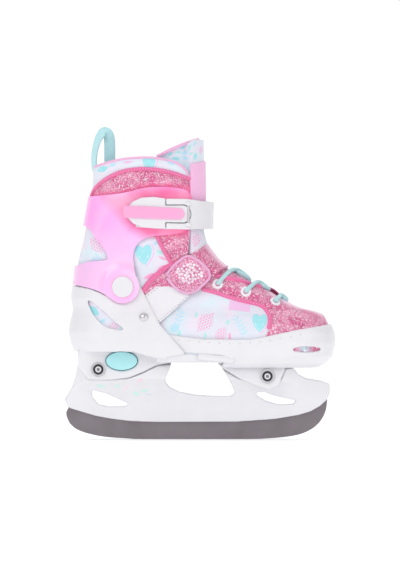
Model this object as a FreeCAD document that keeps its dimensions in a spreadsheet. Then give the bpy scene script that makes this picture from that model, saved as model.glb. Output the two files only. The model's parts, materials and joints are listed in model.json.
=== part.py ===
import FreeCAD, Part
import math
import os

from FreeCAD import Vector

# A child's size-adjustable ice skate, right foot. +X points to the toe, +Z up and
# -Y to the outer side of the foot. The origin is on the flat of the runner.

sizes = {
    # overall
    "skate_length": 247.0,
    "holder_height": 65.2,
    "boot_height": 215.8,
    "heel_half_width": 37.8,
    "toe_half_width": 44.3,
    # walls and clearances
    "shell_wall": 2.5,
    "layer_gap": 0.3,
    "fabric_wall": 3.0,
    "collar_wall": 6.6,
    "strap_wall": 2.2,
    # runner and holder
    "blade_thickness": 3.0,
    "rail_half_width": 6.0,
    "cheek_inner": 19.0,
    "cheek_outer": 22.0,
    "sole_thickness": 2.6,
    # fasteners
    "bolt_radius": 2.8,
    "bush_radius": 4.7,
    "ring_radius": 6.75,
    "rivet_radius": 4.35,
    "pin_radius": 1.5,
    # cuff pivot
    "ear_radius": 15.0,
    "ear_wall": 2.5,
    "post_radius": 4.0,
    "post_clearance": 0.05,
    "cap_radius": 9.5,
    "washer_thickness": 0.8,
    # size adjustment
    "button_half_length": 14.2,
    "button_half_height": 8.4,
    "button_travel": 3.0,
    "rack_half_width": 7.0,
    "notch_pitch": 5.0,
    "toe_travel": 20.0,
    # buckle and trim
    "lever_half_height": 7.5,
    "lever_nose": 2.6,
    "eyelet_radius": 4.8,
    "lace_radius": 2.0,
    "webbing_width": 10.0,
    "webbing_thickness": 1.8,
}

document = FreeCAD.newDocument("ice_skate")
sheet = document.addObject("Spreadsheet::Sheet", "sizes")
for row, (alias, number) in enumerate(sizes.items(), start=1):
    sheet.set("A%d" % row, alias)
    sheet.set("B%d" % row, str(number))
    sheet.setAlias("B%d" % row, alias)
document.recompute()


def size(alias):
    return float(sheet.get(alias))


# The outlines are drawn on a skate of this size and follow the overall sizes.
drawn_length = 247.0
drawn_holder = 65.2
drawn_boot = 215.8


def along(x):
    return x * size("skate_length") / drawn_length


def up(z):
    if z <= drawn_holder:
        return z * size("holder_height") / drawn_holder
    return size("holder_height") + (z - drawn_holder) * size("boot_height") / drawn_boot


def drawn(z):
    """The drawn height that stands at a real height above the holder."""
    return drawn_holder + (z - size("holder_height")) * drawn_boot / size("boot_height")


gap = size("layer_gap")
wall = size("shell_wall")
cheek_in = size("cheek_inner")
cheek_out = size("cheek_outer")
ear = size("ear_radius")
pivot = Vector(along(-69.9), 0, up(138.2))
shell_bore = size("post_radius")
cuff_bore = shell_bore + size("post_clearance")

# Insets from the outer surface of the hard shells to each layer inside them.
inner_layer = wall + gap
fabric_layer = 2 * inner_layer
sock_layer = fabric_layer + size("fabric_wall") + 1.3
sock_wall = 2.5
sock_drop = size("fabric_wall") + 1.5
collar_inside = inner_layer + size("collar_wall")

# Level sections of the boot: height, back, front, and how much narrower the heel
# and toe arcs are than the widest ones.
sections = [
    (65.2, -110.3, 109.2, 7.8, 13.3),
    (69.0, -111.0, 117.0, 4.8, 7.3),
    (75.5, -112.6, 122.8, 2.3, 2.3),
    (87.5, -117.5, 125.5, 0.0, 0.0),
    (97.3, -119.6, 124.9, 0.0, 0.0),
    (105.0, -118.6, 121.5, 0.0, 2.3),
    (111.0, -117.0, 119.0, 0.3, 6.3),
    (115.0, -116.0, 115.5, 0.4, 12.3),
    (119.6, -115.9, 95.0, 0.4, 15.3),
    (128.3, -117.5, 78.5, 0.2, 14.8),
    (138.0, -116.4, 61.5, 0.0, 16.3),
    (143.0, -115.6, 51.0, 0.0, 17.3),
    (156.0, -114.3, 28.5, 0.0, 17.3),
    (163.0, -113.5, 20.0, 0.0, 14.3),
    (176.5, -110.0, 9.5, -0.5, 10.3),
    (190.0, -107.0, 6.0, -1.0, 6.5),
    (225.0, -101.0, 7.0, -1.0, 5.5),
    (272.0, -99.0, 6.0, -0.5, 6.0),
]


def section_at(height):
    """Back, front, heel radius and toe radius of the boot at a drawn height."""
    for below, above in zip(sections, sections[1:]):
        if height <= above[0]:
            break
    share = (height - below[0]) / (above[0] - below[0])
    back, front, heel, toe = [a + (b - a) * share for a, b in zip(below[1:], above[1:])]
    return (along(back), along(front),
            size("heel_half_width") - heel, size("toe_half_width") - toe)


def half_width(x, height, inset=0.0):
    """Half the boot's width at a place along it: two arcs joined by tangents."""
    back, front, heel, toe = section_at(height)
    heel_centre = back + heel
    toe_centre = front - toe
    lean = (heel - toe) / (toe_centre - heel_centre)
    upright = math.sqrt(1 - lean * lean)
    heel -= inset
    toe -= inset
    if x < heel_centre + heel * lean:
        return math.sqrt(max(0.0, heel ** 2 - (x - heel_centre) ** 2))
    if x > toe_centre + toe * lean:
        return math.sqrt(max(0.0, toe ** 2 - (x - toe_centre) ** 2))
    return (heel - lean * (x - heel_centre)) / upright


def plan_wire(height, inset, lift):
    back, front = section_at(height)[:2]
    back += inset
    front -= inset
    middle = (back + front) / 2
    reach = (front - back) / 2
    count = 36
    points = []
    for step in range(count):
        turn = 2 * math.pi * step / count
        x = middle + reach * math.cos(turn)
        y = half_width(x, height, inset) if step % (count // 2) else 0.0
        points.append(Vector(x, math.copysign(y, math.sin(turn)), up(height) + lift))
    curve = Part.BSplineCurve()
    curve.interpolate(points, PeriodicFlag=True)
    return Part.Wire([curve.toShape()])


def form(inset, low, high, lift=0.0):
    """The boot's solid form between two drawn heights, inset all round."""
    heights = [low] + [row[0] for row in sections if low + 1 < row[0] < high - 1] + [high]
    wires = [plan_wire(height, inset, lift) for height in heights]
    return Part.makeLoft(wires, True, True)


def ring(outer, inner, low, high, lift=0.0):
    """A layer of the boot that is open above and below."""
    return form(outer, low, high, lift).cut(form(inner, low - 0.9, high + 0.9, lift))


def prism(points, near=-60.0, far=60.0):
    """A side outline, drawn as (x, z) points, carried across from near to far."""
    corners = [Vector(along(x), near, up(z)) for x, z in points]
    face = Part.Face(Part.makePolygon(corners + corners[:1]))
    return face.extrude(Vector(0, far - near, 0))


def round_prism(points, near=-60.0, far=60.0):
    corners = [Vector(along(x), near, up(z)) for x, z in points]
    curve = Part.BSplineCurve()
    curve.interpolate(corners, PeriodicFlag=True)
    face = Part.Face(Part.Wire([curve.toShape()]))
    return face.extrude(Vector(0, far - near, 0))


def both_sides(points, near, far):
    """The same side outline carried between near and far on both sides."""
    return prism(points, near, far).fuse(prism(points, -far, -near))


def block(x_low, x_high, y_low, y_high, z_low, z_high):
    corner = Vector(along(x_low), y_low, up(z_low))
    return Part.makeBox(along(x_high) - along(x_low), y_high - y_low,
                        up(z_high) - up(z_low), corner)


def cross_rod(radius, place, near, far):
    """A round rod across the skate, from y = near to y = far."""
    start = Vector(place.x, near, place.z)
    return Part.makeCylinder(radius, far - near, start, Vector(0, 1, 0))


def place_at(x, z):
    return Vector(along(x), 0, up(z))


pieces = []


def piece(label, shape):
    """A sub-part whose shape is worked out from the sheet's sizes."""
    feature = document.addObject("Part::Feature", label)
    feature.Label = label
    if shape.ShapeType == "Compound" and len(shape.Solids) == 1:
        shape = shape.Solids[0]
    feature.Shape = shape
    feature.Placement = FreeCAD.Placement()
    pieces.append(feature)
    return feature


def group(label, members):
    """Identical fasteners as one sub-part of separate solids."""
    compound = document.addObject("Part::Compound", label)
    compound.Label = label
    compound.Links = members
    compound.Placement = FreeCAD.Placement()
    pieces.append(compound)
    return compound


def rod(name, radius, place, near, far):
    """A Part::Cylinder across the skate with its radius taken from the sheet."""
    cylinder = document.addObject("Part::Cylinder", name)
    cylinder.setExpression("Radius", radius)
    cylinder.Height = far - near
    cylinder.Placement = FreeCAD.Placement(
        Vector(place.x, near, place.z), FreeCAD.Rotation(Vector(1, 0, 0), -90))
    return cylinder


def joined(kind, name, *members):
    """A Part::Cut of two members, or a Part::MultiFuse of several."""
    result = document.addObject(kind, name)
    if kind == "Part::Cut":
        result.Base, result.Tool = members
    else:
        result.Shapes = list(members)
    return result


def ring_of(name, outer, inner, place, near, far):
    """A washer or bush with both radii taken from the sheet."""
    return joined("Part::Cut", name, rod(name + "_outside", outer, place, near, far),
                  rod(name + "_bore", inner, place, near - 1, far + 1))


def padded_outline(label, plane, curves, thickness):
    """A body with one sketched outline, padded evenly to both sides of its plane."""
    body = document.addObject("PartDesign::Body", label)
    body.Label = label
    sketch = body.newObject("Sketcher::SketchObject", label + "_outline")
    origin = [f for f in body.Origin.OriginFeatures if f.Role == plane][0]
    sketch.AttachmentSupport = (origin, "")
    sketch.MapMode = "FlatFace"
    for curve in curves:
        sketch.addGeometry(curve, False)
    pad = body.newObject("PartDesign::Pad", label + "_pad")
    pad.Profile = sketch
    pad.SideType = "Symmetric"
    pad.setExpression("Length", thickness)
    document.recompute()
    return body


def outline_curves(points):
    """Straight runs between points of a sketch, closed."""
    corners = [Vector(x, y, 0) for x, y in points]
    return [Part.LineSegment(a, b) for a, b in zip(corners, corners[1:] + corners[:1])]


# ---------------------------------------------------------------- runner blade
blade_bottom = [(-121.7, 24.5), (-121.0, 20.0), (-117.6, 13.5), (-111.0, 8.4), (-100.0, 4.7),
                (-86.0, 2.1), (-63.0, 0.7), (-50.0, 0.0), (35.0, 0.0), (62.0, 0.7), (89.0, 3.0),
                (100.0, 7.8), (108.5, 15.5), (114.0, 25.3), (115.5, 36.2)]
blade_top = [(112.0, 41.0), (100.0, 34.0), (84.0, 29.0), (62.0, 25.6), (34.0, 24.0),
             (-36.0, 23.6), (-63.0, 24.6), (-86.0, 27.6), (-104.0, 32.4), (-116.0, 36.6),
             (-118.8, 28.5)]
blade_outline = blade_bottom + blade_top
runner_blade = padded_outline(
    "runner_blade", "XZ_Plane",
    outline_curves([(along(x), up(z)) for x, z in blade_outline]), "sizes.blade_thickness")
pieces.append(runner_blade)

# ---------------------------------------------------------------- blade holder
rear_bolt = place_at(-92.1, 63.7)
front_bolt = place_at(60.6, 57.5)
bolt_places = {"rear": rear_bolt, "front": front_bolt}

holder_side = [(-118.0, 28.2), (-106.0, 24.5), (-94.0, 21.0), (-80.0, 18.5), (-63.0, 16.4),
               (-36.0, 15.6), (34.0, 16.0), (67.0, 18.3), (89.0, 22.0), (100.0, 25.3),
               (108.5, 30.2), (115.0, 36.2), (117.8, 42.8), (117.3, 50.4), (109.5, 53.1),
               (95.4, 55.4), (88.8, 59.1), (84.5, 64.8), (76.0, 64.8), (76.0, 69.6),
               (-108.0, 69.6), (-111.5, 67.0), (-112.5, 58.3), (-116.6, 46.8),
               (-123.5, 36.2), (-120.5, 30.2)]
rear_lug = [(-110.8, 66.3), (-101.4, 54.5), (-83.0, 54.0), (-64.3, 56.1), (-51.8, 61.2),
            (-39.5, 67.4), (-25.0, 69.9)]
front_lug = [(21.0, 64.0), (34.4, 55.9), (51.8, 48.2), (62.7, 45.5), (70.4, 49.3),
             (74.7, 59.1), (76.9, 65.2)]
centre_window = [(-24.0, 75.0), (9.8, 75.0), (19.0, 65.6), (24.8, 56.4), (29.9, 46.1),
                 (31.3, 42.0), (28.2, 39.2), (12.2, 39.2), (-5.0, 40.3), (-19.4, 43.2),
                 (-28.0, 47.3), (-31.5, 51.8), (-31.5, 55.4), (-28.0, 63.3)]
rear_slot = [(-98.6, 44.8), (-85.0, 41.3), (-74.1, 36.2), (-62.4, 31.4), (-72.0, 29.9),
             (-83.1, 29.8), (-92.4, 31.7), (-97.9, 38.0)]
front_slot = [(50.2, 42.8), (58.5, 42.8), (68.0, 39.2), (86.6, 35.4), (84.6, 32.1),
              (71.7, 31.4), (59.0, 35.0), (52.0, 39.4)]
# Half widths of the holder by height, and of its plan by place along it.
holder_front_view = [(1.0, 12.0), (1.0, 26.0), (1.25, 34.0), (1.8, 42.0), (2.6, 49.0),
                     (cheek_out / size("rail_half_width"), 56.0),
                     (cheek_out / size("rail_half_width"), 75.0)]
holder_plan = [(-124.5, 3.0), (-117.0, 11.0), (-104.0, 19.0), (-92.0, cheek_out),
               (72.0, cheek_out), (90.0, 15.0), (108.0, 8.0), (118.5, 3.5)]


def blade_holder():
    rail = size("rail_half_width")
    body = prism(holder_side, -cheek_out, cheek_out)
    right = [Vector(along(-130), rail * share, up(z)) for share, z in holder_front_view]
    left = [Vector(p.x, -p.y, p.z) for p in reversed(right)]
    front_view = Part.Face(Part.makePolygon(right + left + right[:1]))
    body = body.common(front_view.extrude(Vector(along(260), 0, 0)))
    right = [Vector(along(x), y, 0) for x, y in holder_plan]
    left = [Vector(p.x, -p.y, 0) for p in reversed(right)]
    plan = Part.Face(Part.makePolygon(right + left + right[:1]))
    body = body.common(plan.extrude(Vector(0, 0, up(90))))
    lug_spaces = [
        [(-116, 66.6), (-102.4, 53.6), (-83.0, 53.2), (-64.0, 55.3), (-51.4, 60.4),
         (-39.0, 66.6), (-20.0, 69.6), (-20.0, 80.0), (-116, 80.0)],
        [(18.0, 65.0), (33.8, 55.1), (51.4, 47.4), (62.7, 44.7), (71.2, 48.8),
         (75.6, 58.9), (77.8, 66.0), (77.8, 80.0), (18.0, 80.0)]]
    for outline in lug_spaces:
        body = body.cut(both_sides(outline, cheek_in - gap, cheek_out + 5))
    body = body.cut(prism(centre_window)).cut(prism(rear_slot)).cut(prism(front_slot))
    half = size("blade_thickness") / 2
    body = body.cut(prism(blade_outline, -half, half))
    for place in bolt_places.values():
        body = body.cut(cross_rod(size("bush_radius"), place, -40, 40))
    return body.cut(button_bay)


button_place = place_at(-71.0, 71.4)
button_long = size("button_half_length")
button_high = size("button_half_height")
bay_depth = 11.2
button_bay = Part.makeBox(
    2 * button_long + 7, cheek_in - bay_depth, 2 * button_high + 5,
    Vector(button_place.x - button_long - 3.5, -cheek_in, button_place.z - button_high - 2.5))
piece("blade_holder", blade_holder())

# ---------------------------------------------------------------- sole plate
sole_low = 69.9
rib_top = 82.0


def sole_plate():
    thick = size("sole_thickness")
    rear = Part.makeBox(along(85), 2 * (cheek_in - gap), thick,
                        Vector(along(-105), -(cheek_in - gap), up(sole_low)))
    front = Part.makeBox(along(108), 2 * cheek_out, thick,
                         Vector(along(-20), -cheek_out, up(sole_low)))
    lugs = both_sides(front_lug + [(76.9, 71.0), (21.0, 71.0)], cheek_in, cheek_out)
    ribs = [block(-30, 84, y, y + 3, 71.0, rib_top) for y in (-14.0, 11.0)]
    plate = rear.multiFuse([front, lugs] + ribs).cut(button_bay)
    return plate.cut(cross_rod(size("bush_radius"), front_bolt, -40, 40))


piece("sole_plate", sole_plate())

# ---------------------------------------------------------------- heel shell
crease = [(-38.5, 73.6), (-54.0, 78.0), (-60.0, 79.8), (-130.0, 79.8)]
shell_edge = [(-130.0, 142.2), (-100.4, 136.9), (-87.0, 131.8), (-78.8, 125.6),
              (-68.0, 122.0), (-54.6, 140.1), (-36.4, 104.6), (-13.7, 79.2)]
heel_window = [(-101.6, 125.4), (-98.2, 117.0), (-92.8, 109.0), (-84.5, 102.6), (-76.0, 100.2),
               (-68.0, 99.7), (-74.5, 104.4), (-83.0, 112.2), (-92.5, 120.6)]
strap_rivet_place = place_at(-50.8, 110.6)
ear_face = size("heel_half_width") - 1.6
ear_outside = ear_face + size("washer_thickness") + gap
cuff_ear_face = ear_outside + size("ear_wall")


def both_rods(radius, place, near, far):
    return cross_rod(radius, place, near, far).fuse(cross_rod(radius, place, -far, -near))


def button_oval(grow, near, far):
    axis = Vector(0, 1, 0)
    ellipse = Part.Ellipse(Vector(button_place.x, near, button_place.z),
                           button_long + grow, button_high + grow)
    ellipse.Axis = axis
    ellipse.XAxis = Vector(1, 0, 0)
    return Part.Face(Part.Wire([ellipse.toShape()])).extrude(axis * (far - near))


def heel_shell():
    upper = ring(0, wall, 70, 143).common(prism(crease + shell_edge + [(-13.7, 77.6)]))
    floor = form(wall / 2, 79.6, 82.2).common(block(-130, -46, -60, 60, 79.6, 82.2))
    pedestal = both_sides(rear_lug + [(-25.0, 72.2), (-38.5, 77.0), (-50.0, 80.5),
                                      (-108.0, 80.5)], cheek_in, cheek_out)
    back = block(-110.5, -108.0, -cheek_out, cheek_out, 70.2, 80.5)
    bridge = ring(3.5, 6.0, 69.9, 78.6).common(
        prism([(-40, 69.9), (18.0, 69.9), (18.5, 72.5), (8, 76.2), (-12.5, 78.0), (-40, 78.2)]))
    web = form(0, 73.6, 78.2).cut(form(6.0, 72.0, 79.0)).common(
        prism([(-50, 77.2), (-38, 73.8), (-38, 78.2), (-50, 78.2)]))
    step = both_sides([(-50, 77.2), (-30.0, 72.5), (-30.0, 75.0), (-50, 80.5)], cheek_in, 36.0)
    shell = upper.multiFuse([floor, pedestal, back, bridge, web, step])
    shell = shell.fuse(both_rods(ear + 0.6, pivot, ear_face - 3.0, ear_face))
    shell = shell.cut(both_rods(ear + 0.6, pivot, ear_face, 60))
    shell = shell.cut(round_prism(heel_window))
    shell = shell.cut(both_rods(shell_bore, pivot, 20, 60))
    shell = shell.cut(both_rods(size("pin_radius"), strap_rivet_place, 20, 60))
    shell = shell.cut(cross_rod(size("bush_radius"), rear_bolt, -40, 40))
    return shell.cut(button_oval(gap, -40, -10)).cut(button_bay)


piece("heel_shell", heel_shell())

# ---------------------------------------------------------------- mounting bolts
# Each tower is crossed by a bush, with a bolt and nut through it and black washers.
bolt_parts, nut_parts, bush_parts, washer_parts, cover_parts = [], [], [], [], []
for end, place in bolt_places.items():
    bush_parts.append(ring_of(end + "_bush", "sizes.bush_radius", "sizes.bolt_radius", place,
                              -cheek_out, cheek_out))
    shank = rod(end + "_shank", "sizes.bolt_radius", place, -cheek_out - 2.2, cheek_out + 2.8)
    head = rod(end + "_head", "sizes.bush_radius - 0.6", place, -cheek_out - 3.4,
               -cheek_out - 2.2)
    bolt_parts.append(joined("Part::MultiFuse", end + "_bolt", shank, head))
    nut_parts.append(ring_of(end + "_nut", "sizes.bush_radius", "sizes.bolt_radius", place,
                             cheek_out + 2.2, cheek_out + 4.6))
    for side, near in (("outer", -cheek_out - 2.2), ("inner", cheek_out + 1.0)):
        washer_parts.append(ring_of(end + side + "_washer", "sizes.bush_radius",
                                    "sizes.bolt_radius", place, near, near + 1.2))
    for side, near in (("outer", -cheek_out - 1.0), ("inner", cheek_out)):
        cover_parts.append(ring_of(end + side + "_ring", "sizes.ring_radius",
                                   "sizes.bolt_radius", place, near, near + 1.0))
group("mounting_bolts", bolt_parts)
group("mounting_nuts", nut_parts)
group("bolt_bushes", bush_parts)
group("black_washers", washer_parts)
group("steel_rings", cover_parts)

# ---------------------------------------------------------------- size button
spring_radius = 2.6
button_face = -cheek_out - size("button_travel") + 0.4
flange_back = -cheek_in + gap + 2.0
rack_low = up(sole_low) + size("sole_thickness") + 0.6
rack_high = rack_low + 3.0
rack_half = size("rack_half_width")
spring_place = Vector(button_place.x, 0, button_place.z - button_high + 3.2)


def size_button():
    body = button_oval(-0.1, button_face, -cheek_in + gap)
    return body.fuse(button_oval(0.9, -cheek_in + gap, flange_back))


def latch_bar():
    """A bar over the rack, with a tooth behind its far edge."""
    reach = rack_half + 4.0
    low = rack_high + gap
    bar = Part.makeBox(8.0, reach - flange_back, 2.2,
                       Vector(button_place.x - 4.0, flange_back, low))
    tooth = Part.makeBox(3.4, 3.0, low + 2.2 - rack_low,
                         Vector(button_place.x - 1.7, rack_half + gap, rack_low))
    return bar.fuse(tooth)


piece("size_button", size_button())
piece("latch_bar", latch_bar())


def button_spring():
    """A cone-shaped return spring, drawn as its closed envelope."""
    length = -bay_depth - flange_back
    outside = Part.makeCylinder(spring_radius, length, Vector(spring_place.x, flange_back,
                                                             spring_place.z), Vector(0, 1, 0))
    inside = Part.makeCylinder(spring_radius - 0.8, length, Vector(spring_place.x, flange_back,
                                                                  spring_place.z), Vector(0, 1, 0))
    return outside.cut(inside)


piece("button_spring", button_spring())

# ---------------------------------------------------------------- toe shell
toe_top = [(-50.0, 97.5), (-28.6, 95.5), (2.3, 91.4), (44.7, 90.9), (57.8, 93.4), (85.6, 99.5),
           (115.0, 104.4), (130.0, 105.5)]
toe_low = [(130.0, 65.2), (19.3, 65.2), (19.3, 74.0), (35.7, 75.2), (9.8, 77.1), (-12.5, 78.8),
           (-45.0, 79.4)]
toe_slot = [(82.5, 82.0), (89.0, 84.0), (96.0, 84.4), (103.0, 83.8), (109.0, 82.0),
            (103.0, 80.2), (96.0, 79.6), (89.0, 80.0)]
boss_back = 91.0


def toe_shell():
    walls = ring(inner_layer, inner_layer + wall, 65.2, 106).common(prism(toe_low[:1] + [
        (20.0, 65.2), (20.0, 74.0)] + toe_low[3:] + toe_top))
    floor = form(inner_layer + wall / 2, 65.2, 67.8).common(block(19.3, 130, -60, 60, 65.2, 67.8))
    floor = floor.cut(block(10, 79.5, -cheek_out - 2, cheek_out + 2, 60, 70))
    boss = Part.makeBox(along(17), 26, rack_low - up(66), Vector(along(boss_back), -13, up(66)))
    return walls.multiFuse([floor, boss]).cut(round_prism(toe_slot))


piece("toe_shell", toe_shell())


def size_rack():
    """A flat bar from the toe shell back over the sole plate, notched on one edge."""
    back = along(-98)
    bar = Part.makeBox(along(boss_back + 15) - back, 2 * rack_half, rack_high - rack_low,
                       Vector(back, -rack_half, rack_low))
    pitch = size("notch_pitch")
    count = int(size("toe_travel") / pitch) + 1
    for step in range(count):
        centre = button_place.x - step * pitch
        notch = Part.makeBox(3.8, 4.0, 10, Vector(centre - 1.9, rack_half - 2.6, rack_low - 2))
        bar = bar.cut(notch)
    for x in (boss_back + 4, boss_back + 11):
        bar = bar.cut(Part.makeCylinder(1.6, 20, Vector(along(x), 0, rack_low - 5)))
    return bar


piece("size_rack", size_rack())
rack_screws = []
for number, x in enumerate((boss_back + 4, boss_back + 11)):
    screw = document.addObject("Part::Cylinder", "rack_screw_%d" % number)
    screw.Radius = 1.6
    screw.Height = rack_high - rack_low
    screw.Placement.Base = Vector(along(x), 0, rack_low)
    head = document.addObject("Part::Cone", "rack_screw_head_%d" % number)
    head.Radius1 = 3.4
    head.Radius2 = 2.4
    head.Height = 1.4
    head.Placement.Base = Vector(along(x), 0, rack_high)
    rack_screws.append(joined("Part::MultiFuse", "rack_screw_whole_%d" % number, screw, head))
group("rack_screws", rack_screws)

# ---------------------------------------------------------------- soft parts of the toe
strap_front = [(-36.5, 106.7), (-5.8, 133.7), (13.2, 148.8), (24.0, 156.6), (44.0, 170.0)]


def toe_upper():
    """The padded front of the boot, inside the toe shell, open at the back."""
    outer = form(fabric_layer, 78, 160)
    inner = form(fabric_layer + size("fabric_wall"), 76, 161, -size("fabric_wall"))
    region = prism([(-11.0, 79.6), (-36.0, 106.2)] + [(x + 0.4, z) for x, z in strap_front]
                   + [(140.0, 170.0), (140.0, 79.6)])
    return outer.cut(inner).common(region)


piece("toe_upper", toe_upper())

eyelet_places = [(15.6, 140.6), (41.1, 133.7), (67.6, 124.6)]


def skin_point(x, z, inset):
    """A point on the outer side of a layer, and the direction away from it."""
    y = half_width(along(x), z, inset)
    step = 0.5
    slope_x = (half_width(along(x) + step, z, inset) - half_width(along(x) - step, z, inset))
    slope_z = (half_width(along(x), z + step, inset) - half_width(along(x), z - step, inset))
    normal = Vector(-slope_x / (2 * step), -1, -slope_z / (2 * step))
    normal.normalize()
    return Vector(along(x), -y, up(z)), normal


def eyelets():
    shapes = []
    radius = size("eyelet_radius")
    for x, z in eyelet_places:
        point, normal = skin_point(x, z, fabric_layer)
        base = point + normal * 0.9
        disc = Part.makeCylinder(radius, 1.4, base, normal)
        disc = disc.cut(Part.makeCylinder(radius / 2 + 0.2, 1.4, base, normal))
        shapes.append(disc)
        shapes.append(disc.mirror(Vector(0, 0, 0), Vector(0, 1, 0)))
    return Part.makeCompound(shapes)


piece("eyelets", eyelets())


def top_height(x):
    """Drawn height of the middle of the instep above a place along the boot."""
    for below, above in zip(sections, sections[1:]):
        front_low = below[2] - fabric_layer
        front_high = above[2] - fabric_layer
        if below[0] > 100 and front_high <= x <= front_low:
            share = (front_low - x) / (front_low - front_high)
            return below[0] + (above[0] - below[0]) * share
    return sections[7][0]


# Lace runs: eyelet on the outer side, eyelet on the inner side, how high the run
# stands over the instep, and how far each end is moved along the boot.
lace_runs = [(0, 1, 6.5, 5.4, -2.3), (1, 0, 11.0, -2.3, 5.4), (1, 2, 6.5, 2.3, -2.3),
             (2, 1, 11.0, -2.3, 2.3), (2, 2, 5.0, 2.3, 2.3)]
lace_lift = 5.0


def lace():
    """Lace runs over the instep, each a round arc through its crown."""
    radius = size("lace_radius")
    ends = [skin_point(x, z, fabric_layer) for x, z in eyelet_places]
    shapes = []
    for outer, inner, rise, outer_shift, inner_shift in lace_runs:
        start = ends[outer][0] + ends[outer][1] * (lace_lift + radius)
        finish = ends[inner][0] + ends[inner][1] * (lace_lift + radius)
        start = start + Vector(outer_shift, 0, 0)
        finish = Vector(finish.x + inner_shift, -finish.y, finish.z)
        middle_x = (start.x + finish.x) / 2
        crown = Vector(middle_x, 0, up(top_height(middle_x)) + rise)
        path = Part.Wire([Part.Arc(start, crown, finish).toShape()])
        edge = path.Edges[0]
        tangent = edge.tangentAt(edge.FirstParameter)
        profile = Part.Wire([Part.Circle(start, tangent, radius).toShape()])
        shapes.append(path.makePipeShell([profile], True, False))
    return Part.makeCompound(shapes)


piece("lace", lace())

# ---------------------------------------------------------------- liner and insole


def below_ray(angle, far=110.0):
    """End of a ray from the pivot, forward and upward by an angle, as a drawn point."""
    turn = math.radians(angle)
    return (-69.9 + far * math.cos(turn), 138.2 + far * math.sin(turn))


def heel_liner():
    """The fixed lining: thick behind the ankle, thin where the toe part slides over it."""
    thick = ring(inner_layer, sock_layer + sock_wall, 82.5, 141).common(
        prism([(-130, 86.4), (-62, 86.4), (-62, 119.0), (-69.9, 121.4), (-84, 125.4),
               (-100, 133.4), (-130, 138.0)]))
    rear = ring(8.6, sock_layer + sock_wall, 118, 142).common(
        prism([(-130, 133.0), (-62, 119.0), (-62, 140.0), (-130, 140.0)]))
    inset = sock_layer + 1.4
    sock = ring(inset, inset + sock_wall, 88.5, 204, -sock_drop).common(
        prism([(-62.5, 86.4), (18, 86.4), (18, 120), (14, 150.0), below_ray(40, 92.0),
               (-69.9, 138.2), (-69.9, 118.0), (-62.5, 118.0)]))
    return thick.multiFuse([rear, sock])


piece("heel_liner", heel_liner())


def insole():
    bed = form(sock_layer + sock_wall + 0.8, 82.4, 86.2)
    return bed.common(block(-130, 98, -60, 60, 80, 90))


piece("insole", insole())

# ---------------------------------------------------------------- instep strap
strap_outline = [(-60, 105), (-60, 118.0), (-50.6, 129.9), (-28.2, 147.6), (-18.5, 162.1),
                 (6.3, 176.5), (14.0, 180.5), (40.0, 167.0), (24.0, 156.0), (13.2, 148.2),
                 (-5.8, 133.2), (-36.5, 106.2), (-46.0, 101.5)]
gem_outline = [(-30.5, 146.0), (-29.6, 151.6), (-18.9, 162.6), (-9.0, 168.0), (12.5, 150.0),
               (-0.5, 136.9), (-7.2, 133.0), (-13.6, 132.6), (-21.6, 136.2)]


def instep_strap():
    band = ring(inner_layer, inner_layer + size("strap_wall"), 98, 186)
    band = band.common(prism(strap_outline))
    return band.cut(both_rods(size("pin_radius"), strap_rivet_place, 20, 60))


piece("instep_strap", instep_strap())


def gem_tab():
    band = ring(0.6, inner_layer, 128, 172)
    return band.common(prism(gem_outline, -60, -5))


piece("gem_tab", gem_tab())


def hook_patch():
    """The grip patch under the strap's free end, on the inner side of the foot."""
    band = ring(0.6, inner_layer, 128, 172)
    return band.common(prism([(-20, 136), (-20, 158), (4, 166), (14, 152), (-6, 136)], 5, 60))


piece("hook_patch", hook_patch())


def strap_gems():
    shapes = []
    for x, z, radius in ((-9.5, 149.5, 6.0), (-17.6, 144.2, 3.0), (-1.6, 154.8, 3.0),
                         (-16.6, 153.6, 3.0), (-2.2, 145.0, 3.0)):
        point, normal = skin_point(x, z, 0.6)
        base = point + normal * 0.7
        shapes.append(Part.makeCone(radius, radius * 0.55, radius * 0.45, base, normal))
    return Part.makeCompound(shapes)


piece("strap_gems", strap_gems())


def dome_rivets(label, place, radius, skin_inset, foot_inset):
    """A pair of rivets, one each side: a domed head and a shank through the wall."""
    surface = half_width(place.x, drawn(place.z), skin_inset)
    foot = half_width(place.x, drawn(place.z), foot_inset)
    ball = Part.makeSphere(radius * 1.25, Vector(place.x, -surface + radius * 0.75, place.z))
    cap_side = cross_rod(radius, place, -surface - radius, -surface - 0.3)
    head = ball.common(cap_side)
    shank = cross_rod(size("pin_radius"), place, -surface - 0.6, -foot)
    whole = head.fuse(shank)
    return Part.makeCompound([whole, whole.mirror(Vector(0, 0, 0), Vector(0, 1, 0))])


piece("strap_rivets", dome_rivets("strap_rivets", strap_rivet_place, size("rivet_radius"), 0.0,
                                  inner_layer + size("strap_wall")))

# ---------------------------------------------------------------- cuff and its pivots
cuff_outline = [(-130, 218.5), (-93.4, 220.3), (-69.0, 222.2), (-50.7, 227.8), (-28.0, 228.4),
                (-7.7, 225.0), (-6.8, 206.0), (-11.3, 186.8), (-41.0, 184.0), (-46.8, 183.2),
                (-56.0, 178.7), (-60.8, 169.0), (-59.9, 158.0), (-58.0, 147.0), (-57.0, 142.0),
                (-69.9, 124.2), (-78.8, 126.3), (-87.0, 132.5), (-100.4, 137.6),
                (-130, 143.0), (-130, 156.5), (-113.3, 157.0), (-104.6, 160.0), (-95.3, 161.6),
                (-86.0, 161.6), (-82.6, 163.8), (-84.6, 169.4), (-88.0, 174.5), (-95.3, 183.0),
                (-102.0, 194.0), (-130, 198.0)]


rivet_places = [place_at(-44.0, 197.0), place_at(-44.0, 210.0)]
anchor_places = [place_at(-44.0, 203.5)]


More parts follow.
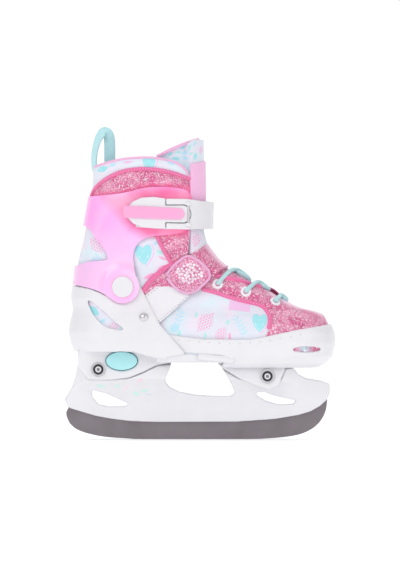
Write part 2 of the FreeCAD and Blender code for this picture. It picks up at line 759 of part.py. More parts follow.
def cuff_shell():
    cuff = ring(0, wall, 118, 232).common(prism(cuff_outline))
    for place in rivet_places:
        cuff = cuff.cut(cross_rod(size("pin_radius"), place, -60, -10))
    for place in anchor_places:
        cuff = cuff.cut(cross_rod(size("pin_radius"), place, 10, 60))
    cuff = cuff.fuse(both_rods(ear, pivot, ear_outside, cuff_ear_face))
    cuff = cuff.cut(cross_rod(ear + 1.2, pivot, -ear_outside, ear_outside))
    return cuff.cut(both_rods(cuff_bore, pivot, 20, 60))


piece("cuff_shell", cuff_shell())

post_parts, ear_washers, cap_parts = [], [], []
for side, sign in (("outer", -1), ("inner", 1)):
    def span(near, far, sign=sign):
        return (near, far) if sign > 0 else (-far, -near)

    shank = rod(side + "_post_shank", "sizes.post_radius", pivot,
                *span(ear_face - 3.0, cuff_ear_face + gap))
    flange = rod(side + "_post_flange", "sizes.post_radius * 2", pivot,
                 *span(ear_face - 4.4, ear_face - 3.0))
    post_parts.append(joined("Part::MultiFuse", side + "_post", shank, flange))
    ear_washers.append(ring_of(side + "_ear_washer", "sizes.post_radius + 6",
                               "sizes.post_radius", pivot,
                               *span(ear_face, ear_face + size("washer_thickness"))))
    cap_parts.append(rod(side + "_cap", "sizes.cap_radius", pivot,
                         *span(cuff_ear_face + gap, cuff_ear_face + gap + 2.0)))
group("pivot_posts", post_parts)
group("pivot_washers", ear_washers)
group("pivot_caps", cap_parts)

# ---------------------------------------------------------------- collar and tongue
collar_top = [(-130, 240.0), (-95.0, 246.0), (-80.0, 251.5), (-56.0, 254.3), (-37.5, 254.0),
              (-18.8, 249.3), (-9.5, 239.9), (-7.6, 225.0)]
front_ray = 35.0


def collar_liner():
    """The padded collar, cut off below by planes through the pivot."""
    outline = collar_top + [(-7.6, 200.0), below_ray(front_ray, 76.0), (-69.9, 139.6),
                            (-130, 141.4)]
    layer = ring(inner_layer, collar_inside, 139, 258).common(prism(outline))
    return layer.cut(cross_rod(ear + 1.2, pivot, -ear_outside, ear_outside))


piece("collar_liner", collar_liner())


def upper_tongue():
    """The tongue's upper part: it closes the front and stands above the collar."""
    front = ring(inner_layer, collar_inside, 182, 271.4).common(
        prism([(-7.2, 200.0), below_ray(front_ray, 76.5), (14, 197), (14, 275),
               (-2.1, 271.4), (-7.2, 269.3)]))
    inner = ring(collar_inside + gap, collar_inside + 3.0, 213, 271.4).common(
        prism([(-39.3, 216.0), (14, 216.0), (14, 275), (-2.1, 270.8), (-39.3, 255.2)]))
    bridge = ring(collar_inside - 1.0, collar_inside + 1.0, 216, 264).common(
        prism([(-6.0, 218.0), (14, 218.0), (14, 262.0), (-6.0, 262.0)]))
    return front.fuse(bridge).fuse(inner)


piece("upper_tongue", upper_tongue())


def tongue_tab():
    return ring(0.2, inner_layer, 214, 252).common(
        prism([(-7.2, 218.2), (14, 218.2), (14, 250.0), (-7.2, 250.0)]))


piece("tongue_tab", tongue_tab())


def pull_loop():
    """A webbing loop over the collar's back edge."""
    half = size("webbing_width") / 2
    thick = size("webbing_thickness")
    outline = [(-101.4, 226.0), (-103.2, 246.0), (-102.4, 262.0), (-98.0, 274.0), (-92.0, 280.0),
               (-87.0, 281.0), (-81.0, 277.0), (-78.8, 268.0), (-80.6, 254.0), (-84.4, 240.0)]
    corners = [Vector(along(x), -half, up(z)) for x, z in outline]
    curve = Part.BSplineCurve()
    curve.interpolate(corners)
    middle = curve.toShape()
    path = [middle.valueAt(middle.FirstParameter
                           + (middle.LastParameter - middle.FirstParameter) * k / 24)
            for k in range(25)]
    outside, inside = [], []
    for before, point, after in zip(path[:1] + path, path, path[1:] + path[-1:]):
        run = after - before
        side = Vector(-run.z, 0, run.x)
        side.normalize()
        outside.append(point + side * (thick / 2))
        inside.append(point - side * (thick / 2))
    edge = outside + inside[::-1]
    face = Part.Face(Part.makePolygon(edge + edge[:1]))
    return face.extrude(Vector(0, 2 * half, 0))


piece("pull_loop", pull_loop())

# ---------------------------------------------------------------- buckle and strap
strap_level = 203.5
lever_half = size("lever_half_height")
base_skin = 0.3
base_wall = 2.3
lever_skin = base_skin + base_wall + gap
lever_wall = 3.2
inlay_wall = 1.6
pin_height = 203.0
pin_out = lever_skin + lever_wall / 2 + 1.0


def buckle_pin_place():
    """The lever's pin stands outside the curve of the cuff's front quarter."""
    front, toe = section_at(pin_height)[1], section_at(pin_height)[3]
    centre = front - toe
    x = along(-11.0)
    reach = toe + pin_out
    return Vector(x, -math.sqrt(reach ** 2 - (x - centre) ** 2), up(pin_height))


pin_place = buckle_pin_place()
front_centre = section_at(pin_height)[1] - section_at(pin_height)[3]
base_outline = [(-58, 192.0), (-31, 190.0), (3.0, 190.5), (14, 191.0), (14, 214.5), (3.0, 215.5),
                (-31, 216.8), (-58, 214.0)]
lug_low = up(strap_level) - lever_half - gap
lug_high = up(strap_level) + lever_half + gap


def upright(radius, low, high):
    return Part.makeCylinder(radius, high - low, Vector(pin_place.x, pin_place.y, low))


def lug(low, high):
    """A lug from the base's face out to the pin."""
    toward = Vector(front_centre - pin_place.x, -pin_place.y, 0)
    toward.normalize()
    across = Vector(-toward.y, toward.x, 0) * size("lever_nose")
    start = Vector(pin_place.x, pin_place.y, low)
    finish = start + toward * (pin_out - base_skin - 0.6)
    corners = [start + across, finish + across, finish - across, start - across]
    web = Part.Face(Part.makePolygon(corners + corners[:1])).extrude(Vector(0, 0, high - low))
    return web.fuse(upright(size("lever_nose"), low, high))


def buckle_base():
    base = ring(-base_skin - base_wall, -base_skin, 186, 220).common(
        prism(base_outline, -60, -6.0))
    base = base.multiFuse([lug(lug_low - 3.4, lug_low), lug(lug_high, lug_high + 3.4)])
    base = base.cut(upright(size("pin_radius"), lug_low - 5, lug_high + 5))
    for place in rivet_places:
        base = base.cut(cross_rod(size("pin_radius"), place, -60, -10))
    return base


piece("buckle_base", buckle_base())

lever_outline = [(-65.0, 196.0), (-60.0, 191.5), (-31.5, 191.5), (-31.5, 196.0), (-5.0, 196.0),
                 (-5.0, 211.0), (-31.5, 211.0), (-31.5, 215.5), (-60.0, 217.0), (-65.0, 212.0)]
inlay_outline = [(-68.0, 200.5), (-60.0, 199.3), (-31.0, 198.6), (-21.0, 198.6),
                 (-19.0, 200.0), (-19.0, 207.6), (-21.0, 209.0), (-31.0, 210.0),
                 (-60.0, 211.0), (-68.0, 210.6)]


def lever_plate():
    """The lever's curved plate ends in a round nose about the pin."""
    low, high = up(strap_level) - lever_half, up(strap_level) + lever_half
    plate = ring(-lever_skin - lever_wall, -lever_skin, 186, 222).common(
        prism(lever_outline, -60, -6.0))
    ahead = Part.makeBox(60, 120, 80, Vector(pin_place.x, pin_place.y - 60, low - 20))
    turn = math.asin((pin_place.x - front_centre) / math.hypot(pin_place.x - front_centre,
                                                                 pin_place.y))
    ahead.rotate(pin_place, Vector(0, 0, 1), math.degrees(turn))
    return plate.cut(ahead).fuse(upright(size("lever_nose"), low, high))


def buckle_lever():
    body = lever_plate()
    return body.cut(upright(size("pin_radius") + size("post_clearance"), 0, 400))


piece("buckle_lever", buckle_lever())


def lever_inlay():
    skin = lever_skin + lever_wall + 0.05
    return ring(-skin - inlay_wall, -skin, 186, 222).common(prism(inlay_outline, -60, -6.0))


piece("lever_inlay", lever_inlay())
lever_pin = document.addObject("Part::Cylinder", "lever_pin")
lever_pin.Label = "lever_pin"
lever_pin.setExpression("Radius", "sizes.pin_radius")
lever_pin.Height = lug_high - lug_low + 6.8
lever_pin.Placement.Base = Vector(pin_place.x, pin_place.y, lug_low - 3.4)
pieces.append(lever_pin)


def ladder_strap():
    """The toothed strap from the inner side of the cuff round the front to the base."""
    band = ring(-base_skin - base_wall, -base_skin, 186, 220).common(
        prism([(-52, 197.0), (20, 196.0), (20, 211.0), (-52, 210.0)], -5.5, 60))
    for step in range(12):
        x = along(-34 + 3.0 * step)
        band = band.cut(Part.makeBox(1.2, 30, lever_half, Vector(
            x, half_width(x, strap_level, -base_skin - base_wall) - 0.8,
            up(strap_level) - lever_half / 2)))
    for place in anchor_places:
        band = band.cut(cross_rod(size("pin_radius"), place, 10, 60))
    return band


piece("ladder_strap", ladder_strap())


def flat_rivet(place, sign):
    """A round-headed rivet through the cuff wall on one side."""
    surface = half_width(place.x, drawn(place.z), -base_skin - base_wall)
    foot = half_width(place.x, drawn(place.z), wall)
    head = Part.makeCylinder(size("rivet_radius") - 1.0, 0.2,
                             Vector(place.x, sign * surface, place.z), Vector(0, sign, 0))
    shank = Part.makeCylinder(size("pin_radius"), surface - foot,
                              Vector(place.x, sign * foot, place.z), Vector(0, sign, 0))
    return head.fuse(shank)


piece("base_rivets", Part.makeCompound([flat_rivet(place, -1) for place in rivet_places]))
piece("anchor_rivet", flat_rivet(anchor_places[0], 1))

# ---------------------------------------------------------------- check and export
document.recompute()
for thing in document.Objects:
    if "Invalid" in thing.State or "Error" in thing.State:
        raise RuntimeError("failed object: " + thing.Name)
os.makedirs("parts", exist_ok=True)
for feature in pieces:
    shape = feature.Shape
    if shape.isNull() or not shape.isValid() or not shape.Solids:
        raise RuntimeError("bad shape: " + feature.Label)
    shape.exportStep("parts/%s.step" % feature.Label)
    print("%-16s %d solids %10.1f mm3" % (feature.Label, len(shape.Solids), shape.Volume))
print("pivot", pivot, "pin", pin_place)
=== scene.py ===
import json
import math
import bpy
import numpy as np
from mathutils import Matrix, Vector


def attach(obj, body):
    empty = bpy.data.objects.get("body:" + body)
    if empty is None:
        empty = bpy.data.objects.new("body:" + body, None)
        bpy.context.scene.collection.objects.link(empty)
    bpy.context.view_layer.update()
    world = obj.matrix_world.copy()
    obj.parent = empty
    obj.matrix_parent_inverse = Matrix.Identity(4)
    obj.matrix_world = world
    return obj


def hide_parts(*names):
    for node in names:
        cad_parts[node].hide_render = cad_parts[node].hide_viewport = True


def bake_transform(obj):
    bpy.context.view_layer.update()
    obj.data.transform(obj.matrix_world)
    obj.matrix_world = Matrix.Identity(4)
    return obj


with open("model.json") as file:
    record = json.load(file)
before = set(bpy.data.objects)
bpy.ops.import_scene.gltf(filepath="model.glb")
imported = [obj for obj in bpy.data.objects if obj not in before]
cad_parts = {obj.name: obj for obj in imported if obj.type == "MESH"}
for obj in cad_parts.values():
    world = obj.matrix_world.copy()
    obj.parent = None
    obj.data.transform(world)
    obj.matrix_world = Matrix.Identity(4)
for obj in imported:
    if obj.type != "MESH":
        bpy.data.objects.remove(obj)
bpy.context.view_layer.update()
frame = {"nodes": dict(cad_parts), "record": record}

mm = 0.001

# Shader maths


class Sock:
    # A shader socket that takes part in sums: each operator adds one Math node.

    def __init__(self, tree, out):
        self.tree, self.out = tree, out

    def math(self, kind, *others):
        node = self.tree.nodes.new("ShaderNodeMath")
        node.operation = kind
        self.tree.links.new(self.out, node.inputs[0])
        for place, other in enumerate(others, start=1):
            plug(self.tree, node.inputs[place], other)
        return Sock(self.tree, node.outputs[0])

    def flipped(self, kind, other):
        node = self.tree.nodes.new("ShaderNodeMath")
        node.operation = kind
        plug(self.tree, node.inputs[0], other)
        self.tree.links.new(self.out, node.inputs[1])
        return Sock(self.tree, node.outputs[0])

    def __add__(self, other): return self.math("ADD", other)
    def __radd__(self, other): return self.math("ADD", other)
    def __sub__(self, other): return self.math("SUBTRACT", other)
    def __rsub__(self, other): return self.flipped("SUBTRACT", other)
    def __mul__(self, other): return self.math("MULTIPLY", other)
    def __rmul__(self, other): return self.math("MULTIPLY", other)


def plug(tree, socket, value):
    # Links a Sock, or sets a plain number, colour or vector.
    if isinstance(value, Sock):
        tree.links.new(value.out, socket)
    elif isinstance(value, (tuple, list)) and len(value) == 3 and len(socket.default_value) == 4:
        socket.default_value = (*value, 1.0)
    else:
        socket.default_value = value


class Finish:
    # One material: its node tree, its shader and its Object coordinates.

    def __init__(self, name, **plain):
        self.material = bpy.data.materials.new(name)
        self.material.use_nodes = True
        self.tree = self.material.node_tree
        self.shader = self.tree.nodes["Principled BSDF"]
        self.place = self.node("ShaderNodeTexCoord", pick="Object")
        for socket, value in plain.items():
            self.set(socket.replace("_", " "), value)

    def node(self, kind, pick=0, settings=None, **inputs):
        made = self.tree.nodes.new(kind)
        for key, value in (settings or {}).items():
            setattr(made, key, value)
        for key, value in inputs.items():
            name = int(key[2:]) if key.startswith("at") else key.replace("_", " ")
            plug(self.tree, made.inputs[name], value)
        return Sock(self.tree, made.outputs[pick])

    def set(self, socket, value):
        plug(self.tree, self.shader.inputs[socket], value)

    def noise(self, scale, detail=2.0):
        return self.node("ShaderNodeTexNoise", "Fac", Vector=self.place, Scale=scale, Detail=detail)

    def cells(self, scale):
        return self.node("ShaderNodeTexVoronoi", "Color", Vector=self.place, Scale=scale)

    def wave(self, scale, direction, distortion=0.0):
        return self.node("ShaderNodeTexWave", "Fac", {"bands_direction": direction},
                         Vector=self.place, Scale=scale, Distortion=distortion)

    def mix(self, share, first, second):
        return self.node("ShaderNodeMix", 2, {"data_type": "RGBA"}, at0=share, at6=first,
                         at7=second)

    def paint(self, attribute, pick="Color"):
        return self.node("ShaderNodeAttribute", pick, {"attribute_name": attribute})

    def ramp(self, value, *stops):
        made = self.tree.nodes.new("ShaderNodeValToRGB")
        ramp = made.color_ramp
        while len(ramp.elements) < len(stops):
            ramp.elements.new(0.5)
        for element, (place, shade) in zip(ramp.elements, stops):
            element.position = place
            element.color = (shade, shade, shade, 1) if isinstance(shade, float) else (*shade, 1)
        plug(self.tree, made.inputs[0], value)
        return Sock(self.tree, made.outputs[0])

    def bump(self, height, strength, distance):
        self.set("Normal", self.node("ShaderNodeBump", Height=height, Strength=strength,
                                     Distance=distance))


def firstChannel(sock):
    # The first channel of a colour, as a number.
    node = sock.tree.nodes.new("ShaderNodeSeparateColor")
    sock.tree.links.new(sock.out, node.inputs[0])
    return Sock(sock.tree, node.outputs[0])


def moulded(name, colour, roughness, printed=None, grain=0.35, **more):
    # Moulded plastic: slow colour drift, fine grain and faint scuffs.
    f = Finish(name, **more)
    drift = f.noise(60, 3)
    darker = tuple(c * 0.93 for c in colour)
    shade = f.mix(drift, colour, darker)
    f.set("Base Color", printed(f, shade) if printed else shade)
    scuff = f.noise(900, 4)
    f.set("Roughness", roughness + (scuff - 0.5) * 0.18)
    f.bump(f.noise(2600, 2) * 0.5 + f.noise(350, 2), grain, 0.00006)
    return f.material


def brushedMetal(name, colour, roughness, direction="Z"):
    # Ground steel: fine lines along the part and soft tarnish.
    f = Finish(name, Metallic=1.0)
    lines = f.wave(900, direction, 6.0)
    cloud = f.noise(45, 4)
    dark = tuple(c * 0.72 for c in colour)
    f.set("Base Color", f.mix(cloud, colour, dark))
    f.set("Roughness", roughness + lines * 0.10 + (cloud - 0.5) * 0.16)
    f.bump(lines, 0.12, 0.00004)
    return f.material


def glitterCloth(name, printed):
    # Glitter-coated fabric over printed colour: flakes of a few tenths of a millimetre.
    f = Finish(name)
    base = f.paint("paint")
    if printed:
        base = f.mix(f.paint("printed", "Fac"), base, printColour(f))
    shiny = f.paint("glitter", "Fac")
    flake = firstChannel(f.cells(1500))
    coarse = firstChannel(f.cells(620))
    patch = f.noise(110, 3)
    bright = f.ramp(flake, (0.0, 0.0), (0.74, 0.0), (0.92, 1.0))
    deep = f.ramp(coarse, (0.0, 1.0), (0.30, 0.55), (0.5, 0.0))
    pale = f.ramp(patch, (0.42, 0.0), (0.62, 1.0))
    toned = f.mix(firstChannel(deep) * shiny * 0.55, base, (0.30, 0.06, 0.16))
    toned = f.mix(firstChannel(pale) * shiny * 0.30, toned, (0.93, 0.66, 0.80))
    # The brightest flakes: partly their own pale colour, partly painted glints lightened nearly to
    # white.
    toned = f.mix(firstChannel(bright) * shiny * 0.85, toned, (1.0, 0.90, 0.97))
    f.set("Base Color", toned)
    f.set("Roughness", 0.75 - shiny * (0.15 + 0.35 * flake))
    f.set("Metallic", firstChannel(bright) * shiny * 0.25)
    weave = f.wave(700, "X", 1.0) * f.wave(700, "Z", 1.0)
    f.bump(flake * shiny * 0.8 + (1 - shiny) * weave * 0.6, 0.5, 0.00018)
    f.set("Sheen Weight", 0.15)
    return f.material


def cloth(name, colour, scale=650, strength=0.5, shade=0.8, sheen=0.3):
    # Plain woven cloth: crossed threads, with lighter and darker yarns.
    f = Finish(name, Sheen_Weight=sheen, Sheen_Roughness=0.5)
    threads = f.wave(scale, "X", 0.6) * f.wave(scale, "Z", 0.6)
    yarn = f.noise(380, 3)
    f.set("Base Color", f.mix(threads * 0.5 + yarn * 0.5, tuple(c * shade for c in colour), colour))
    f.set("Roughness", 0.82 + (yarn - 0.5) * 0.2)
    f.bump(threads + yarn * 0.6, strength, 0.0002)
    return f.material


def tintedPlastic(name, glow):
    # Clear tinted plastic over the printed cloth: pale patches where it is lit through.
    f = Finish(name, Coat_Weight=0.6, Coat_Roughness=0.10)
    cloud = f.noise(38, 4)
    patch = firstChannel(f.ramp(f.noise(26, 2), (0.45, 0.0), (0.70, 1.0)))
    paint = f.mix(patch * 0.45, f.paint("paint"), glow)
    paint = f.mix(f.paint("printed", "Fac"), paint, f.mix(0.5, printColour(f), paint))
    f.set("Base Color", paint)
    f.set("Roughness", 0.26 + cloud * 0.10)
    f.bump(f.noise(1200, 2), 0.15, 0.00005)
    return f.material


# Prints
printInk = {"ground": (0.74, 0.76, 0.85), "teal": (0.36, 0.76, 0.82), "mint": (0.45, 0.80, 0.78),
            "pink": (0.90, 0.42, 0.66), "lilac": (0.84, 0.55, 0.80), "blue": (0.50, 0.76, 0.88),
            "glitter": (0.66, 0.10, 0.27), "pale": (0.90, 0.93, 0.95),
            "fadedMint": (0.60, 0.80, 0.74), "fadedPink": (0.84, 0.68, 0.76),
            "fadedGrey": (0.66, 0.70, 0.74)}


def within(distance, edge=0.35):
    # Share of ink: 0 outside a motif to 1 inside, over a narrow edge in millimetres.
    share = distance * (1 / edge) + 0.5
    share.out.node.use_clamp = True
    return share


def about(x, z, motif):
    # Coordinates along and across a motif that is turned by its lean.
    c, s = math.cos(motif["lean"]), math.sin(motif["lean"])
    dx, dz = x - motif["at"][0], z - motif["at"][1]
    return dx * c + dz * s, dz * c - dx * s


def heartField(u, v, size):
    # Cube root of (u^2 + v^2 - 0.55)^3 - 1.7 u^2 v^3: below zero inside a heart.
    u, v = u * (1.12 / size), v * (0.86 / size)
    q = u * u + v * v - 0.55
    field = q * q * q - 1.7 * (u * u) * (v * v * v)
    return field.math("SIGN") * field.math("ABSOLUTE").math("POWER", 1 / 3)


def leafField(u, v, length, width):
    # (1 - |u / length|^1.6 - |v / width|) times the width.
    arch = (u * (1 / length)).math("ABSOLUTE").math("POWER", 1.6)
    return (1 - arch - (v * (1 / width)).math("ABSOLUTE")) * (0.6 * width)


def brushHeart(f, colour, x, z, motif):
    # A filled heart with a light inner line and an offset pink outline.
    u, v = about(x, z, motif)
    size = motif["size"]
    shadow = heartField(u - 1.6, v + 0.7, size * 1.1)
    colour = f.mix(within(0 - shadow, 0.15), colour, printInk["lilac"])
    gap = heartField(u - 0.9, v + 0.4, size * 1.04)
    colour = f.mix(within(0 - gap, 0.15), colour, printInk["ground"])
    body = heartField(u, v, size)
    colour = f.mix(within(0 - body, 0.15), colour, printInk["teal"])
    inner = heartField(u + 0.3, v - 0.2, size * 0.62).math("ABSOLUTE")
    return f.mix(within(0.14 - inner, 0.10) * 0.6, colour, printInk["pale"])


def leaf(f, colour, x, z, motif):
    u, v = about(x, z, motif)
    inside = within(leafField(u, v, motif["size"], motif["size"] * motif.get("slim", 0.42)))
    return f.mix(inside, colour, printInk[motif["ink"]])


def dottedLeaf(f, colour, x, z, motif):
    # Rows of dots on a staggered lattice, kept inside a leaf.
    u, v = about(x, z, motif)
    pitch = 2.5
    row = (u * (1 / pitch)).math("ROUND")
    du = u - row * pitch
    slid = v + row * (0.5 * pitch)
    dv = slid - (slid * (1 / pitch)).math("ROUND") * pitch
    dots = 0.62 - (du * du * 0.55 + dv * dv)
    inside = leafField(u, v, motif["size"], motif["size"] * 0.62)
    return f.mix(within(dots.math("MINIMUM", inside), 0.5), colour, printInk[motif["ink"]])


def sprig(f, colour, x, z, motif):
    # A stem with leaves repeated along it: one leaf, folded over each side.
    u, v = about(x, z, motif)
    v = v - u * u * motif.get("bow", 0.012)
    pitch = 3.6
    local = u - ((u * (1 / pitch)).math("ROUND")) * pitch
    side = v.math("ABSOLUTE")
    c, s = math.cos(0.9), math.sin(0.9)
    du, dv = local + 0.4, side - 2.0
    leaves = leafField(du * c + dv * s, dv * c - du * s, 2.1, 0.85)
    stem = 0.3 - side
    length = motif["size"] - u.math("ABSOLUTE")
    both = leaves.math("MAXIMUM", stem).math("MINIMUM", length)
    return f.mix(within(both), colour, printInk[motif["ink"]])


def bar(f, colour, x, z, motif):
    u, v = about(x, z, motif)
    half = motif["size"]
    across = (half * motif["slim"]) - v.math("ABSOLUTE")
    return f.mix(within(across.math("MINIMUM", half - u.math("ABSOLUTE"))), colour,
                 printInk[motif["ink"]])


def motifs(draw, *rows):
    keys = ("at", "size", "lean", "ink", "slim")
    return [(draw, dict(zip(keys, row))) for row in rows]


printMotifs = (
    motifs(leaf, ((-23, 101), 4.6, 0.5, "blue", 0.85), ((-19, 96.5), 3.0, 1.3, "mint", 0.5),
           ((-3.7, 113), 3.2, 1.2, "mint"), ((4.4, 94.3), 3.2, 1.5, "mint"),
           ((24.8, 106.4), 3.0, 1.3, "mint"), ((-97, 116.5), 7.0, -0.5, "teal", 0.6),
           ((-88, 107.5), 4.0, 0.5, "blue"), ((-36.5, 169.5), 3.6, -0.5, "mint"),
           ((-39.5, 178), 4.0, 0.6, "blue"), ((-44.5, 148), 7.5, 0.3, "pink", 0.3),
           ((-35, 155.5), 5.0, 0.55, "pink", 0.3), ((-34, 164), 4.5, -0.4, "pink", 0.25),
           ((-3.0, 168), 4.0, 0.7, "blue", 0.6), ((-88, 244.5), 5.5, 0.3, "teal", 0.5),
           ((-79, 248), 4.0, 0.4, "blue"), ((-27, 250), 4.5, -0.5, "blue"),
           ((-65, 250.5), 5.0, 0.1, "lilac", 0.25), ((-22, 254), 4.0, -0.1, "teal"),
           ((-14, 259.5), 3.6, 0.3, "blue"), ((-9.5, 264), 3.4, 1.2, "mint"),
           ((-20, 259.5), 3.0, 0.2, "mint"), ((-4.5, 256), 3.8, 1.3, "teal"),
           ((0.5, 262), 3.6, 1.4, "lilac"),
           ((-27, 258), 3.2, 0.5, "teal"), ((-13.5, 254.5), 3.4, -0.2, "blue"),
           ((-16, 264), 3.0, 0.6, "teal"), ((-5.0, 267.5), 2.8, 0.9, "blue"),
           ((-8.5, 258.5), 2.6, 0.4, "mint"),
           ((-31, 253.5), 3.0, 0.1, "mint"), ((-98, 205), 5.0, 1.2, "teal"))
    + motifs(dottedLeaf, ((4.7, 106.4), 11, 0.85, "pink"), ((18.5, 95.5), 8.0, 1.0, "pink"),
             ((-93.5, 176), 9.0, -0.9, "pink"), ((-78, 102.5), 7.0, 0.3, "pink"),
             ((-3.5, 180.5), 7.0, 1.3, "pink"), ((-0.5, 214), 7.0, 1.3, "lilac"))
    + motifs(sprig, ((-19.4, 109), 10, 1.25, "blue"), ((36, 104), 10, 2.1, "blue"),
             ((-96, 160), 8.0, 0.9, "blue"), ((-103, 150), 8.0, 1.5, "mint"))
    + motifs(bar, ((26.5, 93), 3.5, 1.6, "pink", 0.3), ((35.5, 120.5), 9.5, -0.12, "lilac", 0.42))
    + motifs(brushHeart, ((53.3, 104), 8.0, -0.05), ((-50.7, 165), 9.0, 0.1),
             ((-46, 247.5), 7.0, 0.0)))


def printColour(f):
    # The print over a soft watercolour ground, on the rest position of each point.
    spot = f.paint("rest", "Vector")
    x = f.node("ShaderNodeSeparateXYZ", 0, at0=spot)
    z = f.node("ShaderNodeSeparateXYZ", 2, at0=spot)
    wash = f.node("ShaderNodeTexNoise", "Fac", Vector=spot, Scale=0.055, Detail=3.0)
    tint = f.node("ShaderNodeTexNoise", "Fac", Vector=spot, Scale=0.035, Detail=1.0)
    wash1 = firstChannel(f.ramp(wash, (0.46, 0.0), (0.62, 1.0)))
    tone = f.mix(firstChannel(f.ramp(tint, (0.45, 0.0), (0.55, 1.0))), (0.66, 0.84, 0.90),
                 (0.88, 0.74, 0.86))
    colour = f.mix(wash1 * 0.6, printInk["ground"], tone)
    for draw, motif in printMotifs:
        colour = draw(f, colour, x, z, motif)
    return colour


def glitterShare(x, z, *zones):
    # 1 inside any of the outlines, falling to 0 over a short edge.
    share = np.zeros((len(x), 1))
    for zone in zones:
        share = np.maximum(share, soft(nearestOn(np.asarray(zone, float), x, z)[0], 0.4))
    return share


def tell(piece, base, glitter, printed=None):
    # Stores base colour, glitter share, printed share and rest place of every point.
    x, y, z = sideView(piece)
    paintOn(piece, "paint", base)
    paintNumber(piece, "glitter", glitter)
    paintNumber(piece, "printed", np.zeros(len(x)) if printed is None else printed)
    rest = piece.data.attributes.new("rest", "FLOAT_VECTOR", "POINT")
    rest.data.foreach_set("vector", np.stack([x, y, z], -1).ravel())


def inked(under, share, colour):
    colour = np.array(printInk[colour] if isinstance(colour, str) else colour)
    return under * (1 - share) + colour * share


def tellPlain(piece):
    # Printed all over, with no glitter.
    count = len(piece.data.vertices)
    tell(piece, ink("ground", count), np.zeros(count), np.ones(count))


def ink(name, count):
    return np.tile(np.array(printInk[name]), (count, 1))


def sideAxes(f):
    # Object coordinates x and z in millimetres.
    split = f.node("ShaderNodeVectorMath", 0, {"operation": "SCALE"}, at0=f.place, Scale=1000)
    return (f.node("ShaderNodeSeparateXYZ", 0, at0=split),
            f.node("ShaderNodeSeparateXYZ", 2, at0=split))


def leafPrint(f, colour):
    # Small faded leaves on the holder's outer faces.
    x, z = sideAxes(f)
    rows = motifs(leaf, ((-90, 48.5), 5.0, -0.15, "fadedMint", 0.3),
                  ((-75, 48.5), 3.0, 0.3, "fadedMint"), ((-58, 41.4), 4.3, -0.3, "fadedMint"),
                  ((-50.5, 44.3), 4.2, 0.2, "fadedMint"), ((-54.3, 53.7), 3.4, 0.3, "fadedPink", 0.6),
                  ((-47, 40.5), 4.5, -0.1, "fadedGrey", 0.2), ((-67, 46.8), 6.0, 0.9, "fadedPink", 0.1))
    for draw, motif in rows:
        colour = draw(f, colour, x, z, motif)
    return colour


def gemStone(name):
    # Clear acrylic stones over foil: each has its own brightness, painted in as glints where the foil
    # catches the light.
    f = Finish(name, Coat_Weight=1.0, Coat_Roughness=0.03)
    spark = firstChannel(f.cells(420))
    # Painted glints: random cells lightened nearly to white.
    f.set("Base Color", f.mix(spark, (0.80, 0.62, 0.74), (1.0, 0.99, 1.0)))
    f.set("Roughness", 0.10 + spark * 0.12)
    return f.material


def boltHead(name):
    # A bright socket inside a black ring, by distance from the two bolt axes; the socket's centre is
    # darkened as painted shade in its hollow.
    f = Finish(name)
    x, z = sideAxes(f)
    away = []
    for bx, bz in ((-92.1, 63.7), (60.6, 57.5)):
        away.append(((x - bx) * (x - bx) + (z - bz) * (z - bz)).math("SQRT"))
    d = away[0].math("MINIMUM", away[1])
    ring = within(d - 2.7, 0.3)
    # Painted shade: the centre within 1.5 mm is darkened by three quarters, where the socket's hollow
    # would lie in shade.
    socket = within(1.5 - d, 0.3)
    dark = ring.math("MAXIMUM", socket * 0.75)
    f.set("Base Color", f.mix(dark, (0.80, 0.79, 0.83), (0.02, 0.02, 0.028)))
    f.set("Metallic", 1 - dark)
    f.set("Roughness", 0.26 + f.noise(600) * 0.12)
    return f.material


white = (0.785, 0.78, 0.815)
finishes = {
    "white_plastic": moulded("whitePlastic", white, 0.34, Coat_Weight=0.15),
    "strap_plastic": moulded("strapPlastic", (0.84, 0.83, 0.86), 0.42),
    "runner_steel": brushedMetal("runnerSteel", (0.28, 0.25, 0.27), 0.42),
    "zinc_steel": brushedMetal("zincSteel", (0.72, 0.71, 0.74), 0.24),
    "black_plastic": moulded("blackPlastic", (0.02, 0.02, 0.024), 0.45),
    "teal_plastic": moulded("tealPlastic", (0.42, 0.80, 0.83), 0.36),
    "grey_nylon": moulded("greyNylon", (0.50, 0.50, 0.52), 0.5),
    "eyelet_plastic": moulded("eyeletPlastic", (0.84, 0.83, 0.87), 0.32),
    "pink_inlay": moulded("pinkInlay", (0.93, 0.40, 0.66), 0.30, Coat_Weight=0.3),
    "gem_plastic": gemStone("gemPlastic"),
    "bolt_head": boltHead("boltHead"),
    "leaf_plastic": moulded("leafPlastic", white, 0.34, leafPrint, Coat_Weight=0.15),
    "lining_fabric": cloth("liningCloth", (0.82, 0.62, 0.72)),
    "printed_fabric": glitterCloth("printedCloth", True),
    "glitter_fabric": glitterCloth("glitterCloth", False),
    "pink_fabric": cloth("pinkPiping", (1.0, 0.20, 0.46), 900, 0.6, 0.82),
    "lilac": cloth("lilacPiping", (0.95, 0.52, 0.78), 900, 0.6, 0.88),
    "tab_fabric": cloth("tabCloth", (1.0, 0.56, 0.84), 800, 0.5, 0.88),
    "seam_thread": cloth("seamThread", (0.62, 0.58, 0.66), 1100, 0.6, 0.85),
    "fuzzy": cloth("fuzzyPink", (0.95, 0.70, 0.80), 1200, 0.9, 0.85, 0.8),
    "teal_lace": cloth("tealLace", (0.58, 0.92, 0.95), 1100, 0.8, 0.85),
    "teal_webbing": cloth("tealWebbing", (0.56, 0.92, 0.97), 800, 0.8, 0.86),
    "grip_fabric": cloth("gripCloth", (0.82, 0.50, 0.68), 1500, 1.0, 0.6),
    "pink_plastic": tintedPlastic("pinkPlastic", (1.0, 0.70, 0.92)),
}
print("materials ready")

